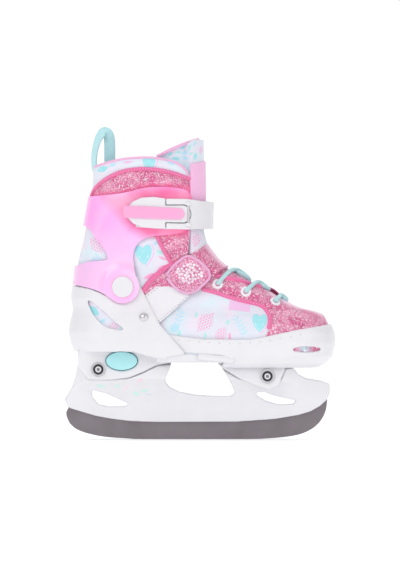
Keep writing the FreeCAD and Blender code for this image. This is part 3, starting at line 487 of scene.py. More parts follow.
# The boot's form
# Level sections: height, back, front, heel radius, toe radius, in millimetres.
sections = np.array([
    (65.2, -110.3, 109.2, 30, 31), (69, -111, 117, 33, 37), (75.5, -112.6, 122.8, 35.5, 42),
    (87.5, -117.5, 125.5, 37.8, 44.3), (97.3, -119.6, 124.9, 37.8, 44.3),
    (105, -118.6, 121.5, 37.8, 42), (111, -117, 119, 37.5, 38), (115, -116, 115.5, 37.4, 32),
    (119.6, -115.9, 95, 37.4, 29), (128.3, -117.5, 78.5, 37.6, 29.5), (138, -116.4, 61.5, 37.8, 28),
    (143, -115.6, 51, 37.8, 27), (156, -114.3, 28.5, 37.8, 27), (163, -113.5, 20, 37.8, 30),
    (176.5, -110, 9.5, 38.3, 34), (190, -107, 6.0, 38.8, 37.8), (225, -101, 7.0, 38.8, 38.8),
    (272, -99, 6.0, 38.3, 38.3)])
fineHeights = np.linspace(sections[0, 0], sections[-1, 0], 830)


def averaged(rows, reach):
    weights = np.hanning(2 * reach + 1)
    weights /= weights.sum()
    padded = np.pad(rows, ((0, 0), (reach, reach)), mode="reflect", reflect_type="odd")
    return np.stack([np.convolve(row, weights, "valid") for row in padded])


def smoothTable():
    # The sections between their heights, averaged over a few millimetres.
    table = np.stack([np.interp(fineHeights, sections[:, 0], sections[:, k])
                      for k in range(1, 5)])
    return averaged(table, 14)


formTable = smoothTable()


def sectionAt(z):
    return [np.interp(z, fineHeights, row) for row in formTable]


def halfWidth(x, z, inset=0.0):
    # Half the boot's width: a heel arc and a toe arc joined by their tangents.
    back, front, heel, toe = sectionAt(z)
    heelCentre, toeCentre = back + heel, front - toe
    lean = (heel - toe) / (toeCentre - heelCentre)
    heelIn, toeIn = heel - inset, toe - inset
    flat = (heelIn - lean * (x - heelCentre)) / np.sqrt(1 - lean ** 2)
    rear = np.sqrt(np.clip(heelIn ** 2 - (x - heelCentre) ** 2, 0, None))
    nose = np.sqrt(np.clip(toeIn ** 2 - (x - toeCentre) ** 2, 0, None))
    y = np.where(x < heelCentre + heelIn * lean, rear, flat)
    return np.where(x > toeCentre + toeIn * lean, nose, y)


def ringPoints(turn, z, inset):
    # Points on the form at plan angles: 0 at the toe, a quarter turn on the inner side.
    back, front = sectionAt(z)[:2]
    middle, reach = (back + front) / 2, (front - back) / 2 - inset
    x = middle + reach * np.cos(turn)
    y = halfWidth(x, z, inset) * np.sign(np.sin(turn))
    return x, np.where(np.abs(np.sin(turn)) < 1e-6, 0.0, y), z


def nearestOn(outline, x, z):
    # Signed distance to a closed side outline (inside is positive) and the nearest point.
    a = np.asarray(outline, float)
    b = np.roll(a, -1, axis=0)
    px, pz = x[:, None], z[:, None]
    run = b - a
    share = (px - a[:, 0]) * run[:, 0] + (pz - a[:, 1]) * run[:, 1]
    share = share / np.maximum((run ** 2).sum(1), 1e-9)
    share = np.clip(share, 0, 1)
    qx, qz = a[:, 0] + share * run[:, 0], a[:, 1] + share * run[:, 1]
    gap = (px - qx) ** 2 + (pz - qz) ** 2
    best = gap.argmin(1)
    rows = np.arange(len(x))
    crosses = ((a[:, 1] > pz) != (b[:, 1] > pz))
    safe = np.where(run[:, 1] == 0, 1e-9, run[:, 1])
    inside = (crosses & (px < a[:, 0] + (pz - a[:, 1]) * run[:, 0] / safe)).sum(1) % 2 == 1
    distance = np.sqrt(gap[rows, best])
    return np.where(inside, distance, -distance), qx[rows, best], qz[rows, best]


def rounded(points, rounds=3, closed=True):
    # Corner cutting: each pass puts points a quarter and three quarters along each run.
    p = np.asarray(points, float)
    for _ in range(rounds):
        q = np.roll(p, -1, axis=0)
        cut = np.empty((2 * len(p), 2))
        cut[0::2], cut[1::2] = 0.75 * p + 0.25 * q, 0.25 * p + 0.75 * q
        if not closed:
            cut = np.vstack([p[:1], cut[:-2], p[-1:]])
        p = cut
    return p


def unit(vectors):
    return vectors / (np.linalg.norm(vectors, axis=-1, keepdims=True) + 1e-9)


def wallQuads(rows, count, flip=False):
    # Quads between closed rings of points, one ring after another.
    index = np.arange(rows * count).reshape(rows, count)
    after = np.roll(index, -1, 1)
    sides = (index[1:], after[1:], after[:-1]) if flip else (after[:-1], after[1:], index[1:])
    return np.stack([index[:-1], *sides], -1).reshape(-1, 4)


def meshPiece(name, points, faces, body, material):
    mesh = bpy.data.meshes.new(name)
    faces = faces.tolist() if hasattr(faces, "tolist") else faces
    corners = [tuple(dict.fromkeys(f)) for f in faces]  # a doubled corner makes a triangle
    mesh.from_pydata((np.asarray(points) * mm).tolist(), [], corners)
    mesh.update()
    mesh.validate()
    piece = bpy.data.objects.new(name, mesh)
    bpy.context.scene.collection.objects.link(piece)
    mesh.polygons.foreach_set("use_smooth", np.ones(len(mesh.polygons), bool))
    mesh.materials.append(finishes[material])
    if body:
        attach(piece, body)
    return piece


def cutSheet(outline, inset, holes=(), step=1.1, turns=360, reach=None):
    # The form's surface inside a side outline: a grid of plan angles and heights whose cells outside
    # the outline are dropped and whose rim is drawn onto the outline.
    outline = np.asarray(outline, float)
    low, high = outline[:, 1].min() - step, outline[:, 1].max() + step
    rows = int((high - low) / step) + 2
    turn = np.linspace(-math.pi, math.pi, turns, endpoint=False)
    turnAt, zAt = np.meshgrid(turn, np.linspace(low, high, rows))
    turnAt, zAt = turnAt.ravel(), zAt.ravel()
    xAt = ringPoints(turnAt, zAt, inset)[0]

    def signed(x, z):
        d, qx, qz = nearestOn(outline, x, z)
        for hole in holes:
            dh, hx, hz = nearestOn(hole, x, z)
            closer = -dh < d
            d = np.where(closer, -dh, d)
            qx, qz = np.where(closer, hx, qx), np.where(closer, hz, qz)
        return d, qx, qz

    quads = wallQuads(rows, turns)
    cx, cz = xAt[quads].mean(1), zAt[quads].mean(1)
    keep = signed(cx, cz)[0] > 0
    if reach is not None:
        y = ringPoints(turnAt, zAt, inset)[1]
        keep &= (y[quads].mean(1) >= reach[0]) & (y[quads].mean(1) <= reach[1])
    quads = quads[keep]
    used, counts = np.unique(quads, return_counts=True)
    rim = used[counts < 4]
    d, qx, qz = signed(xAt[rim], zAt[rim])
    near = np.abs(d) < 2.2 * step
    rim, qx, qz = rim[near], qx[near], qz[near]
    zAt[rim] = qz
    back, front = sectionAt(qz)[:2]
    middle, half = (back + front) / 2, (front - back) / 2 - inset
    cosine = np.clip((qx - middle) / half, -1, 1)
    atEnd = np.abs(np.sin(turnAt[rim])) < 0.02
    turnAt[rim] = np.where(atEnd, turnAt[rim], np.sign(turnAt[rim]) * np.arccos(cosine))
    points = np.stack(ringPoints(turnAt, zAt, inset), -1)
    order = np.full(len(points), -1)
    order[used] = np.arange(len(used))
    return points[used], order[quads]


def cappedQuads(rows, count):
    # Rings joined by quads, with the first and last ring closed.
    first, last = list(range(count)), list(range((rows - 1) * count, rows * count))
    return wallQuads(rows, count, True).tolist() + [first, last[::-1]]


def easeEdges(piece, width):
    bevel = piece.modifiers.new("edges", "BEVEL")
    bevel.width = width * mm
    bevel.segments = 2
    bevel.limit_method = "ANGLE"
    bevel.angle_limit = math.radians(50)


def thicken(piece, wall, edge):
    # A wall inward from the drawn surface, with its rims rounded off.
    solid = piece.modifiers.new("wall", "SOLIDIFY")
    solid.thickness = wall * mm
    solid.offset = -1
    solid.use_even_offset = False
    easeEdges(piece, edge)
    return piece


def softCopy(node, name, body, material, voxel, passes):
    # A moulded copy of a CAD piece: remeshed finely, then its edges eased.
    piece = bpy.data.objects.new(name, frame["nodes"][node].data.copy())
    bpy.context.scene.collection.objects.link(piece)
    remesh = piece.modifiers.new("remesh", "REMESH")
    remesh.mode = "VOXEL"
    remesh.voxel_size = voxel * mm
    ease = piece.modifiers.new("ease", "SMOOTH")
    ease.factor = 0.5
    ease.iterations = passes
    graph = bpy.context.evaluated_depsgraph_get()
    made = bpy.data.meshes.new_from_object(piece.evaluated_get(graph))
    piece.modifiers.clear()
    piece.data = made
    made.name = name
    made.materials.clear()
    made.materials.append(finishes[material])
    made.polygons.foreach_set("use_smooth", np.ones(len(made.polygons), bool))
    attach(piece, body)
    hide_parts(node)
    return piece


def strip(name, path, inset, radius, body, material, flat=1.0, sides=(-1, 1), closed=False,
          roundness=3):
    # A piping cord along a side-view path on the form, on one or both sides.
    path = rounded(path, roundness, closed)
    x, z = path[:, 0], path[:, 1]
    y = halfWidth(x, z, inset)
    line = np.stack([x, y, z], -1)
    points, faces = tube(line, radius, flat)
    both, allFaces = [], []
    for side in sides:
        moved = points * np.array([1, side, 1])
        turnedFaces = faces if side > 0 else faces[:, ::-1]
        allFaces.append(turnedFaces + sum(len(b) for b in both))
        both.append(moved)
    return meshPiece(name, np.vstack(both), np.vstack(allFaces), body, material)


def tube(line, radius, flat=1.0, around=10):
    # A round or flattened profile carried along a line of points, with closed ends.
    line = np.asarray(line, float)
    run = unit(np.gradient(line, axis=0))
    outward = np.stack([np.zeros(len(line)), np.sign(line[:, 1] + 1e-6), np.zeros(len(line))], -1)
    outward = unit(outward - (outward * run).sum(1)[:, None] * run)
    across = np.cross(run, outward)
    turn = np.linspace(0, 2 * math.pi, around, endpoint=False)
    shape = (line[:, None] + radius * (np.cos(turn)[None, :, None] * across[:, None]
             + flat * np.sin(turn)[None, :, None] * outward[:, None]))
    points = shape.reshape(-1, 3)
    count = len(line)
    ring, edge = np.arange(around), (count - 1) * around
    after = np.roll(ring, -1)
    first = np.full(around, len(points))
    caps = [np.stack([first, after, ring, first], -1),
            np.stack([first + 1, edge + ring, edge + after, first + 1], -1)]
    points = np.vstack([points, line[:1], line[-1:]])
    return points, np.vstack([wallQuads(count, around), *caps])


def paintOn(piece, name, values):
    # Writes one colour per vertex as an attribute.
    colours = np.ones((len(piece.data.vertices), 4), np.float32)
    colours[:, :3] = values
    layer = piece.data.color_attributes.new(name, "FLOAT_COLOR", "POINT")
    layer.data.foreach_set("color", colours.ravel())


def paintNumber(piece, name, values):
    layer = piece.data.attributes.new(name, "FLOAT", "POINT")
    layer.data.foreach_set("value", np.asarray(values, np.float32))


def sideView(piece):
    # The piece's vertices as x, y and z in millimetres.
    flat = np.empty(3 * len(piece.data.vertices))
    piece.data.vertices.foreach_get("co", flat)
    return (flat.reshape(-1, 3) / mm).T


def soft(distance, width=0.5):
    # 1 inside, 0 outside, with a soft edge.
    return np.clip(0.5 + distance / (2 * width), 0, 1)[:, None]


print("tools ready")

# Moulded shells
mouldings = [
    ("blade_holder", "holderMoulding", "root", "leaf_plastic", 0.85, 7),
    ("sole_plate", "soleMoulding", "root", "white_plastic", 0.9, 6),
    ("heel_shell", "heelMoulding", "root", "white_plastic", 0.9, 8),
    ("toe_shell", "toeMoulding", "toe_part", "white_plastic", 0.9, 10),
    ("size_button", "buttonMoulding", "button", "teal_plastic", 0.45, 10),
    ("pivot_caps", "capMoulding", "root", "white_plastic", 0.45, 8),
    ("heel_liner", "liningFoam", "root", "printed_fabric", 1.2, 6),
    ("insole", "insoleFoam", "root", "lining_fabric", 1.2, 6),
    ("buckle_base", "baseMoulding", "cuff", "white_plastic", 0.5, 4),
    ("hook_patch", "hookPatch", "root", "grip_fabric", 0.5, 4)]
for row in mouldings:
    moulding = softCopy(*row)
    if row[0] == "heel_liner":
        tellPlain(moulding)
print("moulded pieces ready")

# Toe upper
strapFront = [(-36.5, 106.7), (-5.8, 133.7), (13.2, 148.8), (24, 156.6)]
toeUpperOutline = [
    (-14, 77), (-44, 108), (-12, 137), (8.0, 152), (24, 160), (60, 158), (128, 130), (128, 77)]
eyestayLower = [
    (-14, 138), (1.8, 136.3), (16, 132.6), (27.5, 128.4), (42.8, 124.8), (55.6, 121.9), (61, 115.3),
    (63, 109.3), (61.7, 100.5), (56, 86)]
eyestayUpper = [
    (11, 149.5), (27.5, 145.9), (36.7, 143.6), (43.7, 141.3), (58.2, 137.3), (65.4, 135.5),
    (70.9, 130.5)]
clothInset = 5.6


def crown(x, z, height, reach, *lines):
    # Padding between seams: height * (1 - exp(-(distance / reach)^2)) from the nearest seam.
    nearest = np.full(len(x), 1e9)
    for line in lines:
        both = np.vstack([line, np.asarray(line, float)[::-1]])
        nearest = np.minimum(nearest, np.abs(nearestOn(both, x, z)[0]))
    return height * (1 - np.exp(-(nearest / reach) ** 2))


def swell(points, amount):
    # Moves points outwards across the boot by their own amounts.
    x, y, z = points.T
    return np.stack([x, y + np.sign(y) * amount * np.clip(np.abs(y) / 12, 0, 1), z], -1)


def toeUpper():
    points, faces = cutSheet(toeUpperOutline, clothInset, step=0.95, turns=420)
    x, y, z = points.T
    quarter = [(-24, 91.5), (5.0, 90), (32, 89), (58, 93)]
    points = swell(points, crown(x, z, 1.1, 5.0, eyestayLower, eyestayUpper, quarter, strapFront))
    piece = meshPiece("toeUpper", points, faces, None, "printed_fabric")
    zone = np.vstack([rounded(eyestayLower, 2, False), [(140, 86), (140, 170), (-14, 170)]])
    glitter = glitterShare(x, z, zone)
    top = np.interp(x, [43, 58, 72.6, 87.5, 111.8, 116], [141, 136, 128, 119.6, 114.6, 108])
    # Pale pink over the top near the middle line, with no glitter there: partly a pale fuzzy edge,
    # partly a painted rim highlight where grazing light catches the glitter.
    fuzzAndRimLight = soft(np.minimum(np.minimum(z - top + 4.0, x - 62), 15.0 - np.abs(y)), 3.0)
    slot = soft(np.minimum(14.0 - np.abs(x - 95.7), 3.5 - np.abs(z - 82)), 0.5)
    tint = soft(4.0 - np.abs(x - 94), 5.0)
    base = inked(ink("glitter", len(x)), fuzzAndRimLight, (0.92, 0.66, 0.80))
    base = inked(base, tint * slot, "teal")
    glitter = np.maximum(glitter, slot)
    tell(piece, base, (glitter * (1 - fuzzAndRimLight))[:, 0], (1 - glitter)[:, 0])
    thicken(piece, 3.0, 0.8)
    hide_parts("toe_upper")
    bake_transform(piece)


toeUpper()
strip("eyestayPipingLower", eyestayLower[1:-1], clothInset - 0.6, 1.9, "toe_part", "pink_fabric", 0.6)
strip("eyestayPipingUpper", eyestayUpper, clothInset - 0.6, 1.9, "toe_part", "pink_fabric", 0.6)
print("toe upper ready")

# Ankle fabric
pivot = (-69.9, 138.2)


def arc(centre, radius, first, last, count=14):
    turn = np.radians(np.linspace(first, last, count))
    return [(centre[0] + radius * math.cos(t), centre[1] + radius * math.sin(t)) for t in turn]


cuffOutline = ([(-130, 219), (-93.4, 220.3), (-69, 222.2), (-50.7, 227.8), (-28, 228.4),
                (-7.7, 225), (-6.8, 206), (-11.3, 186.8), (-41, 184), (-46.8, 183.2),
                (-56, 178.7), (-60.8, 169), (-59.9, 158)]
               + arc(pivot, 15, 38, -127) + [(-87, 132.5), (-100.4, 137.6), (-130, 143),
                (-130, 156.5), (-113.3, 157), (-104.6, 160), (-95.3, 161.6), (-86, 161.6),
                (-82.6, 163.8), (-84.6, 169.4), (-88, 174.5), (-95.3, 183), (-102, 194),
                (-130, 198)])
collarOutline = [
    (-130, 121), (-130, 240), (-94, 247), (-75, 252.6), (-56, 254.6), (-37.5, 254.2), (-18.8, 249.3),
    (-10.5, 240.5), (-8.0, 225), (-9.5, 195), (-12.3, 150), (-30, 128), (-56, 118)]
glitterBand = [
    (-104, 217), (-95.3, 229), (-75, 241.7), (-50.7, 245.3), (-26.4, 241.7), (-9.5, 235.4), (-5.0, 226),
    (-5.0, 214), (-50, 216)]
ankleGlitter = [(-39.3, 186), (-5.0, 188), (-8.0, 158), (-27, 158)]
throat = [
    (-56, 126), (-52.4, 133.7), (-45.9, 142.9), (-35.6, 152.3), (-26.3, 157.9), (-15, 161.6),
    (-8.0, 163)]
anklePath = [(-39.3, 184), (-33, 171), (-26.4, 159.8)]
bandTop = [
    (-99.5, 218), (-95.3, 229), (-75, 241.7), (-50.7, 245.3), (-26.4, 241.7), (-9.2, 235.4)]


def ankleCollar():
    points, faces = cutSheet(collarOutline, 3.0, step=0.95, turns=440)
    x, y, z = points.T
    covered = nearestOn(np.asarray(cuffOutline, float), x, z)[0]
    bare = np.clip(-covered / 4.0, 0, 1)
    puff = crown(x, z, 1.9, 4.5, bandTop, collarOutline[2:10], throat, anklePath)
    points = swell(points, puff * bare * np.clip((z - 132) / 20, 0, 1))
    piece = meshPiece("ankleCollar", points, faces, None, "printed_fabric")
    below = throat + [(0, 163), (0, 110), (-60, 110)]
    glitter = glitterShare(x, z, glitterBand, ankleGlitter, below)
    under = np.array([(-100, 221.5), (-69, 224), (-50, 229.5), (-28, 230), (-5, 227), (-5, 184),
                      (-44, 184), (-64, 196), (-84, 206)], float)
    hot = soft(nearestOn(under, x, z)[0], 4.0)
    base = inked(ink("glitter", len(x)), hot, (1.0, 0.20, 0.42))
    tell(piece, base, (glitter * (1 - hot))[:, 0], ((1 - glitter) * (1 - hot))[:, 0])
    thicken(piece, 6.2, 2.2)
    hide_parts("collar_liner")
    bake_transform(piece)


ankleCollar()
strip("collarPiping", bandTop, 2.2, 1.7, "cuff", "pink_fabric", 0.7)
strip("rimPiping", [(-96, 247), (-75, 252.8), (-56, 254.9), (-37.5, 254.5), (-18.8, 249.6),
                    (-10.2, 240.5), (-7.7, 225), (-9.0, 200), (-11.8, 172)], 2.6, 1.0,
      "cuff", "lilac", 0.8)
strip("throatPiping", throat[1:-1], 2.0, 2.3, "root", "pink_fabric", 0.6)
strip("anklePiping", anklePath, 2.2, 1.7, "cuff",
      "pink_fabric", 0.6)
print("ankle ready")

# Tongue
tongueOutline = [
    (-39.3, 238), (-39.3, 255.4), (-20, 265), (-2.1, 271.6), (8.0, 271), (8.0, 166), (-14, 166),
    (-14, 238)]


def tongue():
    points, faces = cutSheet(tongueOutline, 3.0, step=1.0, turns=440)
    x, y, z = points.T
    deeper = 3.0 + 7.2 * np.clip((-8.5 - x) / 6.0, 0, 1)
    y = np.sign(y) * halfWidth(x, z, deeper)
    points = np.stack([x, y, z], -1)
    piece = meshPiece("tongue", points, faces, "cuff", "printed_fabric")
    tellPlain(piece)
    thicken(piece, 3.2, 1.2)
    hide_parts("upper_tongue")


tongue()
strip("tonguePiping", [(-39.3, 255.6), (-20, 265.2), (-2.1, 271.8)], 8.0, 1.5, "cuff", "lilac")
tabOutline = [(-8.6, 214), (-8.6, 249.5), (-3.0, 250), (8.0, 253), (8.0, 214)]
tabPoints, tabFaces = cutSheet(tabOutline, 1.6, step=1.0)
tab = meshPiece("tongueTab", tabPoints, tabFaces, "cuff", "tab_fabric")
thicken(tab, 1.2, 0.4)
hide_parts("tongue_tab")

# Cuff
earFace = 39.8


def cuffShell():
    # The tinted cuff: the form's surface, pressed out flat round each pivot.
    points, faces = cutSheet(rounded(cuffOutline, 2), 0.0, step=1.1, turns=420)
    x, y, z = points.T
    r = np.hypot(x - pivot[0], z - pivot[1])
    share = np.clip((23.0 - r) / 8.0, 0, 1)
    share = share * share * (3 - 2 * share)
    y = np.sign(y) * (np.abs(y) * (1 - share) + earFace * share)
    piece = meshPiece("cuffMoulding", np.stack([x, y, z], -1), faces, "cuff", "pink_plastic")
    hotZone = np.array([(-88, 219), (-69, 222.2), (-50.7, 227.8), (-28, 228.4), (-2, 226),
                        (-2, 180), (-48, 182), (-62, 190), (-76, 206)], float)
    hot = soft(nearestOn(hotZone, x, z)[0], 5.0)
    paint = inked(np.array((0.98, 0.38, 0.83)), hot, (1.0, 0.16, 0.40))
    pale = np.clip(1 - r / 34, 0, 1)[:, None] * 0.5
    lower = np.clip((196 - z) / 40, 0, 1)[:, None] * 0.35 * (1 - hot)
    paint = inked(paint, pale + lower * 0.6, (1.0, 0.62, 0.86))
    show = np.clip((200 - z) / 20, 0, 1) * np.clip((r - 17) / 6, 0, 1) * 0.55
    tell(piece, paint, np.zeros(len(x)), show * (1 - hot[:, 0]))
    thicken(piece, 2.4, 0.6)
    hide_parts("cuff_shell")


cuffShell()
print("cuff ready")

# Instep strap
strapOutline = [
    (-60, 105), (-60, 118), (-50.6, 129.9), (-28.2, 147.6), (-16, 162.8), (6.3, 177.2), (30, 184.5),
    (44, 168), (24, 156.2), (13.2, 148.4), (-5.8, 133.3), (-36.5, 106.3), (-46, 101.5)]


def skinPiece(name, outline, inset, wall, body, material, edge=0.5, step=1.0, reach=None,
              rounds=0, turns=400):
    shape = rounded(outline, rounds) if rounds else outline
    points, faces = cutSheet(shape, inset, step=step, turns=turns, reach=reach)
    piece = meshPiece(name, points, faces, body, material)
    return thicken(piece, wall, edge)


strapBand = skinPiece("strapBand", strapOutline, 2.4, 2.0, "root", "glitter_fabric", 0.6)
x, y, z = sideView(strapBand)
cover = [(-30, 140), (-18, 164), (8, 180), (50, 190), (50, 150), (24, 154), (8, 140), (-8, 131)]
sparkle = soft(np.maximum(nearestOn(np.array(cover, float), x, z)[0], y), 0.5)
base = inked(np.array((0.80, 0.79, 0.83)), sparkle, "glitter")
# Pale pink near the middle line, with less glitter: partly a pale fuzzy edge, partly a painted rim
# highlight where grazing light catches the glitter.
fuzzAndRimLight = soft(15.0 - np.abs(y), 4.0)
base = inked(base, fuzzAndRimLight, (0.92, 0.62, 0.78))
tell(strapBand, base, sparkle[:, 0] * (1 - 0.8 * fuzzAndRimLight[:, 0]))
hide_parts("instep_strap")
gemOutline = [
    (-30.5, 146), (-29.6, 151.6), (-18.9, 162.6), (-9.0, 168), (12.5, 150), (-0.5, 136.9), (-7.2, 133),
    (-13.6, 132.6), (-21.6, 136.2)]
gemTab = skinPiece("gemTab", gemOutline, 0.2, 2.0, "root", "glitter_fabric", 0.7, 0.8,
                   (-60, -5), 2)
count = len(gemTab.data.vertices)
tell(gemTab, np.tile(np.array((0.70, 0.17, 0.36)), (count, 1)), np.full(count, 0.9))
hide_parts("gem_tab")
strip("gemTabPiping", gemOutline, 0.0, 1.1, "root", "lilac", 0.7, (-1,), True, 2)
print("strap ready")


def skinPoint(x, z, inset):
    # A point on the outer side and its outward direction, from the form's slopes.
    def at(a, b):
        return float(halfWidth(np.array(a), np.array(b), inset))
    normal = np.array([at(x - 0.5, z) - at(x + 0.5, z), -1.0, at(x, z - 0.5) - at(x, z + 0.5)])
    return np.array([x, -at(x, z), z]), normal / np.linalg.norm(normal)


def gather(name, parts, body, material):
    # Joins (points, faces) parts into one piece.
    points, faces, count = [], [], 0
    for p, f in parts:
        points.append(p)
        faces += [[int(corner) + count for corner in face] for face in f]
        count += len(p)
    return meshPiece(name, np.vstack(points), faces, body, material)


def stone(place, away, radius, turn):
    # A six-sided cut stone: a wide ring, a narrower ring above it and a flat top.
    side = np.cross(away, (0.0, 0.0, 1.0))
    side /= np.linalg.norm(side)
    up = np.cross(side, away)
    angle = np.linspace(0, 2 * math.pi, 6, endpoint=False) + turn
    ring = np.cos(angle)[:, None] * side + np.sin(angle)[:, None] * up
    points = np.vstack([place + ring * radius, place + ring * radius * 0.55 + away * 0.9])
    k = np.arange(6)
    sides = np.stack([k, (k + 1) % 6, 6 + (k + 1) % 6, 6 + k], -1).tolist()
    return points, sides + [(6 + k).tolist(), k[::-1].tolist()]


def gems():
    # Small faceted stones scattered over the strap's tab.
    seeds = np.random.default_rng(3)
    spots = []
    for _ in range(3000):
        u, v = seeds.uniform(-1, 1, 2)
        x, z = -9.5 + 9.5 * u - 4.5 * v, 150.5 + 7.0 * v + 4.0 * u
        clear = all((x - a) ** 2 + (z - b) ** 2 > 6.4 for a, b, _ in spots)
        if u ** 4 + v ** 4 < 1 and clear and len(spots) < 60:
            spots.append((x, z, seeds.uniform(1.15, 1.75)))
    parts = []
    for x, z, radius in spots:
        place, away = skinPoint(x, z, 0.2)
        parts.append(stone(place, away, radius, x * 3.0))
    piece = gather("tabStones", parts, "root", "gem_plastic")
    piece.data.polygons.foreach_set("use_smooth", np.zeros(len(piece.data.polygons), bool))
    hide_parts("strap_gems")


gems()

# Lace and eyelets
eyeletPlaces = [(15.6, 140.6), (41.1, 133.7), (67.6, 124.6)]
def torusAt(centre, axis, radius, thick, squash=0.6, turns=36, around=12):
    # about1 ring about an axis, its section flattened along it.
    axis = axis / np.linalg.norm(axis)
    side = np.cross(axis, (0.0, 0.0, 1.0))
    side /= np.linalg.norm(side)
    up = np.cross(side, axis)
    a = np.linspace(0, 2 * math.pi, turns, endpoint=False)
    b = np.linspace(0, 2 * math.pi, around, endpoint=False)
    ring, section = np.meshgrid(a, b, indexing="ij")
    ring, section = ring[..., None], section[..., None]
    outward = np.cos(ring) * side + np.sin(ring) * up
    points = (centre + (radius + thick * np.cos(section)) * outward
              + thick * squash * np.sin(section) * axis)
    index = np.arange(turns * around).reshape(turns, around)
    quads = np.stack([index, np.roll(index, -1, 0), np.roll(np.roll(index, -1, 0), -1, 1),
                      np.roll(index, -1, 1)], -1).reshape(-1, 4)
    return points.reshape(-1, 3), quads


eyelet = {"radius": 3.5, "thick": 1.35}
rings = []
for x, z in eyeletPlaces:
    point, away = skinPoint(x, z, clothInset)
    for side in (1, -1):
        flip = np.array([1, side, 1])
        rings.append(torusAt((point + away * 0.7) * flip, away * flip, *eyelet.values()))
eyeletRings = gather("eyeletRings", rings, "toe_part", "eyelet_plastic")
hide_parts("eyelets")


def topHeight(x):
    heights = np.linspace(108, 168, 400)
    fronts = sectionAt(heights)[1] - clothInset
    return float(np.interp(-x, -fronts, heights))


# Each strand: its eyelet, its side, where it goes under the far edge, and its rise.
laceStrands = [(0, 1, (44.5, 143.5), 3.4), (0, -1, (44.5, 143.5), 1.2),
               (1, 1, (62, 136), 3.4), (1, -1, (62, 136), 1.2),
               (2, 1, (78, 125.5), 3.0), (2, -1, (78, 125.5), 1.0)]


def smoothLine(points, rounds=4):
    line = np.asarray(points, float)
    for _ in range(rounds):
        cut = np.empty((2 * len(line) - 2, 3))
        cut[0::2] = 0.75 * line[:-1] + 0.25 * line[1:]
        cut[1::2] = 0.25 * line[:-1] + 0.75 * line[1:]
        line = np.vstack([line[:1], cut, line[-1:]])
    return line


def laceStrand(index, side, under, rise):
    # Out of an eyelet, up over the instep and down beneath the other side's edge.
    flip, far = np.array([1, side, 1]), np.array([1, -side, 1])
    x, z = eyeletPlaces[index]
    reach = under[0] - x
    point, away = skinPoint(x, z, clothInset)
    end, out = skinPoint(*under, clothInset)
    place, lift = skinPoint(x + 0.30 * reach, z + 0.62 * (topHeight(x + 0.3 * reach) - z), clothInset)
    middle = x + 0.58 * reach
    top = np.array([middle, 0, topHeight(middle) + rise])
    return smoothLine([(point - away * 1.2) * flip,
                       (point + away * 3.0 + np.array([0.6, 0, 0.8])) * flip,
                       (place + lift * 3.2) * flip, top + np.array([-0.10 * reach, -7.0 * side, 0.0]),
                       top, top + np.array([0.12 * reach, 7.0 * side, -0.8]),
                       (end + out * 1.6 + np.array([0, 0, 0.6])) * far, (end - out * 3.0) * far])


runs = [tube(laceStrand(*row), 1.9, 0.8, 12) for row in laceStrands]
laceRun = gather("laceRuns", runs, "toe_part", "teal_lace")
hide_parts("lace")
print("lace ready")

# Buckle
leverOutline = ([(-31.6, 217.6), (-42, 219), (-53, 218.2), (-61, 214.5), (-64.8, 209.5),
                 (-66, 204.5), (-64.4, 199.5), (-60, 195), (-52, 191.8), (-42, 190.8),
                 (-31.6, 191), (-31.6, 196.4)] + arc((-16.8, 203.7), 8.0, -72, 72, 13)
                + [(-31.6, 211.2)])
lever = skinPiece("leverMoulding", leverOutline, -6.2, 2.4, "lever", "white_plastic", 0.9, 0.8,
                  (-60, -5))
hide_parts("buckle_lever")
inlayOutline = ([(-68.6, 211), (-69.4, 205.5), (-68, 200.4), (-45, 199.4), (-25, 198.9)]
                + arc((-19, 203.8), 5.0, -75, 75, 9) + [(-25, 209), (-45, 210.2)])
inlay = skinPiece("leverInlay", inlayOutline, -7.6, 1.5, "lever", "pink_inlay", 0.6, 0.8,
                  (-60, -5))
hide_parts("lever_inlay")
headOutline = [
    (-30.4, 190.4), (-12, 189.8), (3.0, 190.4), (14, 191), (14, 215), (3.0, 215.4), (-12, 217.2),
    (-30.4, 217.4)]
slotOutline = [(-34, 195.4)] + arc((-16.8, 203.7), 9.0, -74, 74, 15) + [(-34, 212.2)]
headPoints, headFaces = cutSheet(headOutline, -5.9, [np.array(slotOutline)], step=0.8,
                                 turns=420, reach=(-60, -4))
head = meshPiece("strapHead", headPoints, headFaces, "cuff", "white_plastic")
thicken(head, 4.6, 1.0)


# Pull loop
def pullLoop():
    # A woven tape along a loop, turning about its own run.
    route = np.array([(-86, 0.0, 232), (-93, 0.0, 237.5), (-96.4, 0.0, 246),
                      (-96.6, 0.0, 256.5), (-94.6, 0.0, 267.5), (-91.4, 0.0, 275.5),
                      (-87.2, 0.0, 279.9), (-83.2, 1.0, 277), (-82.2, 2.0, 270),
                      (-82.2, 2.0, 262), (-82.2, 2.0, 250), (-83, 2.0, 236)])
    keys = np.linspace(0, 1, len(route))
    lean = np.radians(np.array([22, 24, 26, 28, 32, 42, 58, 74, 84, 88, 88, 88]))
    fine = np.linspace(0, 1, 90)
    path = averaged(np.stack([np.interp(fine, keys, row) for row in route.T]), 7).T
    turn = np.interp(fine, keys, lean)
    run = unit(np.gradient(path, axis=0))
    side = np.cross(run, (0.0, 1.0, 0.0))
    across = np.sin(turn)[:, None] * side + np.cos(turn)[:, None] * np.array((0, 1.0, 0))
    face = np.cross(run, across)
    share = np.linspace(-1, 1, 13)
    half, thick = 5.0, 0.8
    middle = path[:, None] + across[:, None] * share[None, :, None] * half
    rise = thick * face[:, None] * (1 - 0.35 * share ** 2)[None, :, None]
    around = np.concatenate([middle + rise, (middle - rise)[:, ::-1]], axis=1)
    piece = meshPiece("pullLoop", around.reshape(-1, 3), cappedQuads(*around.shape[:2]),
                      "cuff", "teal_webbing")
    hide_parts("pull_loop")


pullLoop()
print("trim ready")

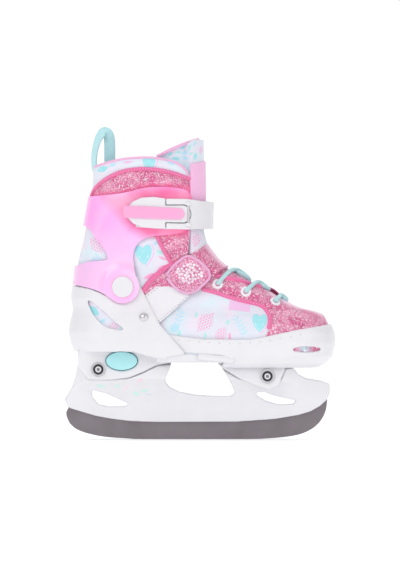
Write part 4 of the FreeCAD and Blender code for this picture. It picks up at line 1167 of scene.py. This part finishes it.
# Stitches and fillers
def stitches(name, path, inset, pitch, length, radius, body, material, sides=(-1, 1), rounds=3):
    # Thread ends along a seam: six-cornered grains, long along the seam.
    line = rounded(path, rounds, False)
    run = np.hypot(*np.diff(line, axis=0).T)
    way = np.concatenate([[0], np.cumsum(run)])
    stops = np.arange(pitch / 2, way[-1], pitch)
    x, z = np.interp(stops, way, line[:, 0]), np.interp(stops, way, line[:, 1])
    ahead = np.minimum(stops + 0.3, way[-1])
    dx = np.interp(ahead, way, line[:, 0]) - x
    dz = np.interp(ahead, way, line[:, 1]) - z
    size = np.hypot(dx, dz) + 1e-9
    dx, dz = dx / size, dz / size
    step = 0.5
    slope = halfWidth(x + dx * step, z + dz * step, inset) - halfWidth(x, z, inset)
    y = halfWidth(x, z, inset)
    along = unit(np.stack([dx, slope / step, dz], -1))
    across = np.stack([-dz, np.zeros(len(x)), dx], -1)
    out = np.cross(across, along)
    out *= np.where(out[:, 1:2] < 0, -1, 1)
    centre = np.stack([x, y, z], -1)
    corners = [along * length / 2, across * radius, -along * length / 2, -across * radius,
               out * radius, -out * radius]
    grains = np.stack([centre + corner for corner in corners], 1)
    base = np.array([[0, 1, 4], [1, 2, 4], [2, 3, 4], [3, 0, 4], [1, 0, 5], [2, 1, 5],
                     [3, 2, 5], [0, 3, 5]])
    parts = []
    for side in sides:
        points = grains.reshape(-1, 3) * np.array([1, side, 1])
        faces = (base[None] + 6 * np.arange(len(x))[:, None, None]).reshape(-1, 3)
        parts.append((points, faces if side > 0 else faces[:, ::-1]))
    return gather(name, parts, body, material)


shellSeam = [
    (-24, 90.9), (5, 88.1), (32, 86.9), (51, 88.1), (70, 91), (88, 94.9), (96, 96.3), (112, 99)]
seam = {"pitch": 2.6, "length": 1.5, "radius": 0.4}
seamRows = [
    ("collarStitches", bandTop, 0.9, "cuff"), ("ankleStitches", anklePath, 0.9, "cuff"),
    ("throatStitches", throat[1:-1], 0.3, "root"),
    ("eyestayStitches", eyestayLower[1:-1], clothInset - 2.0, "toe_part")]
stitches("toeShellStitches", shellSeam, 2.75, 9.2, 1.6, 0.42, "toe_part", "seam_thread")
for name, path, inset, body in seamRows:
    stitches(name, path, inset, seam["pitch"], seam["length"], seam["radius"], body, "lilac")
strapSeams = [("strapStitchesLow", [(-44, 103.6), (-36, 108.6), (-8.0, 132.6)]),
              ("strapStitchesHigh", [(-55, 123.5), (-49.5, 128.6), (-29.5, 144.6)])]
for name, path in strapSeams:
    stitches(name, path, 2.2, 3.2, 1.7, 0.4, "root", "seam_thread", (-1,), 0)
stitches("gemStitches", gemOutline, -0.9, 2.4, 1.4, 0.38, "root", "lilac", (-1,), 2)
strip("gapFiller", [(-22, 78.4), (-8.0, 77), (8.0, 75.4), (17, 73), (19, 70)],
      5.4, 2.0, "root", "white_plastic", 0.5)
strip("toeSkirt", [(-2.0, 75.6), (8.0, 74.6), (18, 73.6), (30, 72.4)], 2.8, 3.3, "toe_part",
      "white_plastic", 0.5)
print("stitches ready")


# Runner
def throughPoints(points, steps=8):
    # A smooth open line through its points: each run is a Catmull-Rom cubic.
    p = np.asarray(points, float)
    p = np.vstack([2 * p[0] - p[1], p, 2 * p[-1] - p[-2]])
    t = np.linspace(0, 1, steps, endpoint=False)[:, None]
    runs = []
    for a, b, c, d in zip(p[:-3], p[1:-2], p[2:-1], p[3:]):
        runs.append(0.5 * (2 * b + (c - a) * t + (2 * a - 5 * b + 4 * c - d) * t ** 2
                           + (3 * b - a - 3 * c + d) * t ** 3))
    return np.vstack(runs + [p[-2:-1]])


runner = {
    "bottom": [(-121.7, 24.5), (-121, 20), (-117.6, 13.5), (-111, 8.4), (-100, 4.7),
               (-86, 2.1), (-66, 0.6), (-50, 0.0), (35, 0.0), (62, 0.7), (86, 3.4),
               (100, 8.6), (108.5, 15.8), (113.6, 25.3), (115.3, 36)],
    "top": [(112, 40), (100, 34), (84, 29), (62, 25.6), (34, 24),
            (-36, 23.6), (-63, 24.6), (-86, 27.6), (-104, 32.4), (-116, 36.4),
            (-119.2, 29.5)],
    "across": [-1.5, -1.5, -0.9, 0.0, 0.9, 1.5, 1.5],
    "hollow": [0.0, 0.0, 0.28, 0.35, 0.28, 0.0, 0.0], "edge": 0.25}


def runnerSteel():
    # The runner's outline carried across its thickness, the running edge ground hollow.
    low = throughPoints(runner["bottom"])
    low[:, 1] = np.maximum(low[:, 1], 0.0)
    high = np.array(runner["top"])
    outline = np.vstack([low, high])
    across = runner["across"]
    grind = np.zeros(len(outline))
    grind[8:len(low) - 4] = 1.0
    rings = []
    for y, d in zip(across, runner["hollow"]):
        rings.append(np.stack([outline[:, 0], np.full(len(outline), y), outline[:, 1] + d * grind], -1))
    faces = cappedQuads(len(across), len(outline))
    piece = meshPiece("runnerSteel", np.vstack(rings), faces, "root", "runner_steel")
    easeEdges(piece, runner["edge"])
    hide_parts("runner_blade")


runnerSteel()
print("runner ready")

# CAD nodes that stay
for node in frame["record"]["subparts"]:
    thing = frame["nodes"][node["node"]]
    finish = finishes.get("bolt_head" if node["node"] == "mounting_bolts" else node["material_slot"])
    if finish:
        thing.data.materials.clear()
        thing.data.materials.append(finish)

# Stage
floorMesh = bpy.data.meshes.new("floor")
n = 60
gx = np.linspace(-3, 3, n)
curve = np.linspace(-5.5, 4.2, n)
rise = np.where(curve > 1.2, (curve - 1.2) ** 2 * 0.5, 0.0)
floorX, floorY = np.meshgrid(gx, curve)
floorZ = np.meshgrid(gx, rise)[1] - 0.0005
index = np.arange(n * n).reshape(n, n)
quads = np.stack([index[:-1, :-1], index[:-1, 1:], index[1:, 1:], index[1:, :-1]], -1).reshape(-1, 4)
floorMesh.from_pydata(np.stack([floorX, floorY, floorZ], -1).reshape(-1, 3).tolist(), [], quads.tolist())
floorMesh.polygons.foreach_set("use_smooth", np.ones(len(floorMesh.polygons), bool))
floor = bpy.data.objects.new("floor", floorMesh)
bpy.context.scene.collection.objects.link(floor)
floorFinish = Finish("floorPaint", Base_Color=(0.93, 0.93, 0.935), Roughness=0.7,
                     Emission_Color=(1.0, 1.0, 1.0), Emission_Strength=0.30)
floorMesh.materials.append(floorFinish.material)

world = bpy.data.worlds.new("studio")
bpy.context.scene.world = world
world.use_nodes = True
world.node_tree.nodes["Background"].inputs["Color"].default_value = (1, 1, 1, 1)
world.node_tree.nodes["Background"].inputs["Strength"].default_value = 0.62


def softbox(name, place, aim, size, power):
    light = bpy.data.lights.new(name, "AREA")
    light.shape = "RECTANGLE"
    light.size, light.size_y = size
    light.energy = power
    thing = bpy.data.objects.new(name, light)
    thing.location = place
    thing.rotation_euler = (Vector(aim) - Vector(place)).to_track_quat("-Z", "Y").to_euler()
    bpy.context.scene.collection.objects.link(thing)


softbox("keyLight", (-0.9, -1.5, 1.2), (0, 0, 0.12), (1.2, 1.2), 11)
softbox("fillLight", (1.3, -1.2, 0.6), (0, 0, 0.12), (1.2, 1.2), 4)
softbox("topLight", (0.0, 0.2, 1.6), (0, 0, 0.1), (1.4, 1.4), 5)

camera = bpy.data.cameras.new("camera")
viewer = bpy.data.objects.new("camera", camera)
bpy.context.scene.collection.objects.link(viewer)
bpy.context.scene.camera = viewer
picture = {"height": 570 * 0.0009, "centre": (-0.00027, 0.1399), "distance": 4.0,
           "nearSide": -0.035, "sensor": 24}
camera.sensor_fit = "VERTICAL"
camera.sensor_height = picture["sensor"]
camera.lens = picture["sensor"] * (picture["distance"] + picture["nearSide"]) / picture["height"]
viewer.location = (picture["centre"][0], -picture["distance"], picture["centre"][1])
viewer.rotation_euler = (math.radians(90), 0, 0)
bpy.context.scene.view_settings.view_transform = "Standard"
print("stage ready")
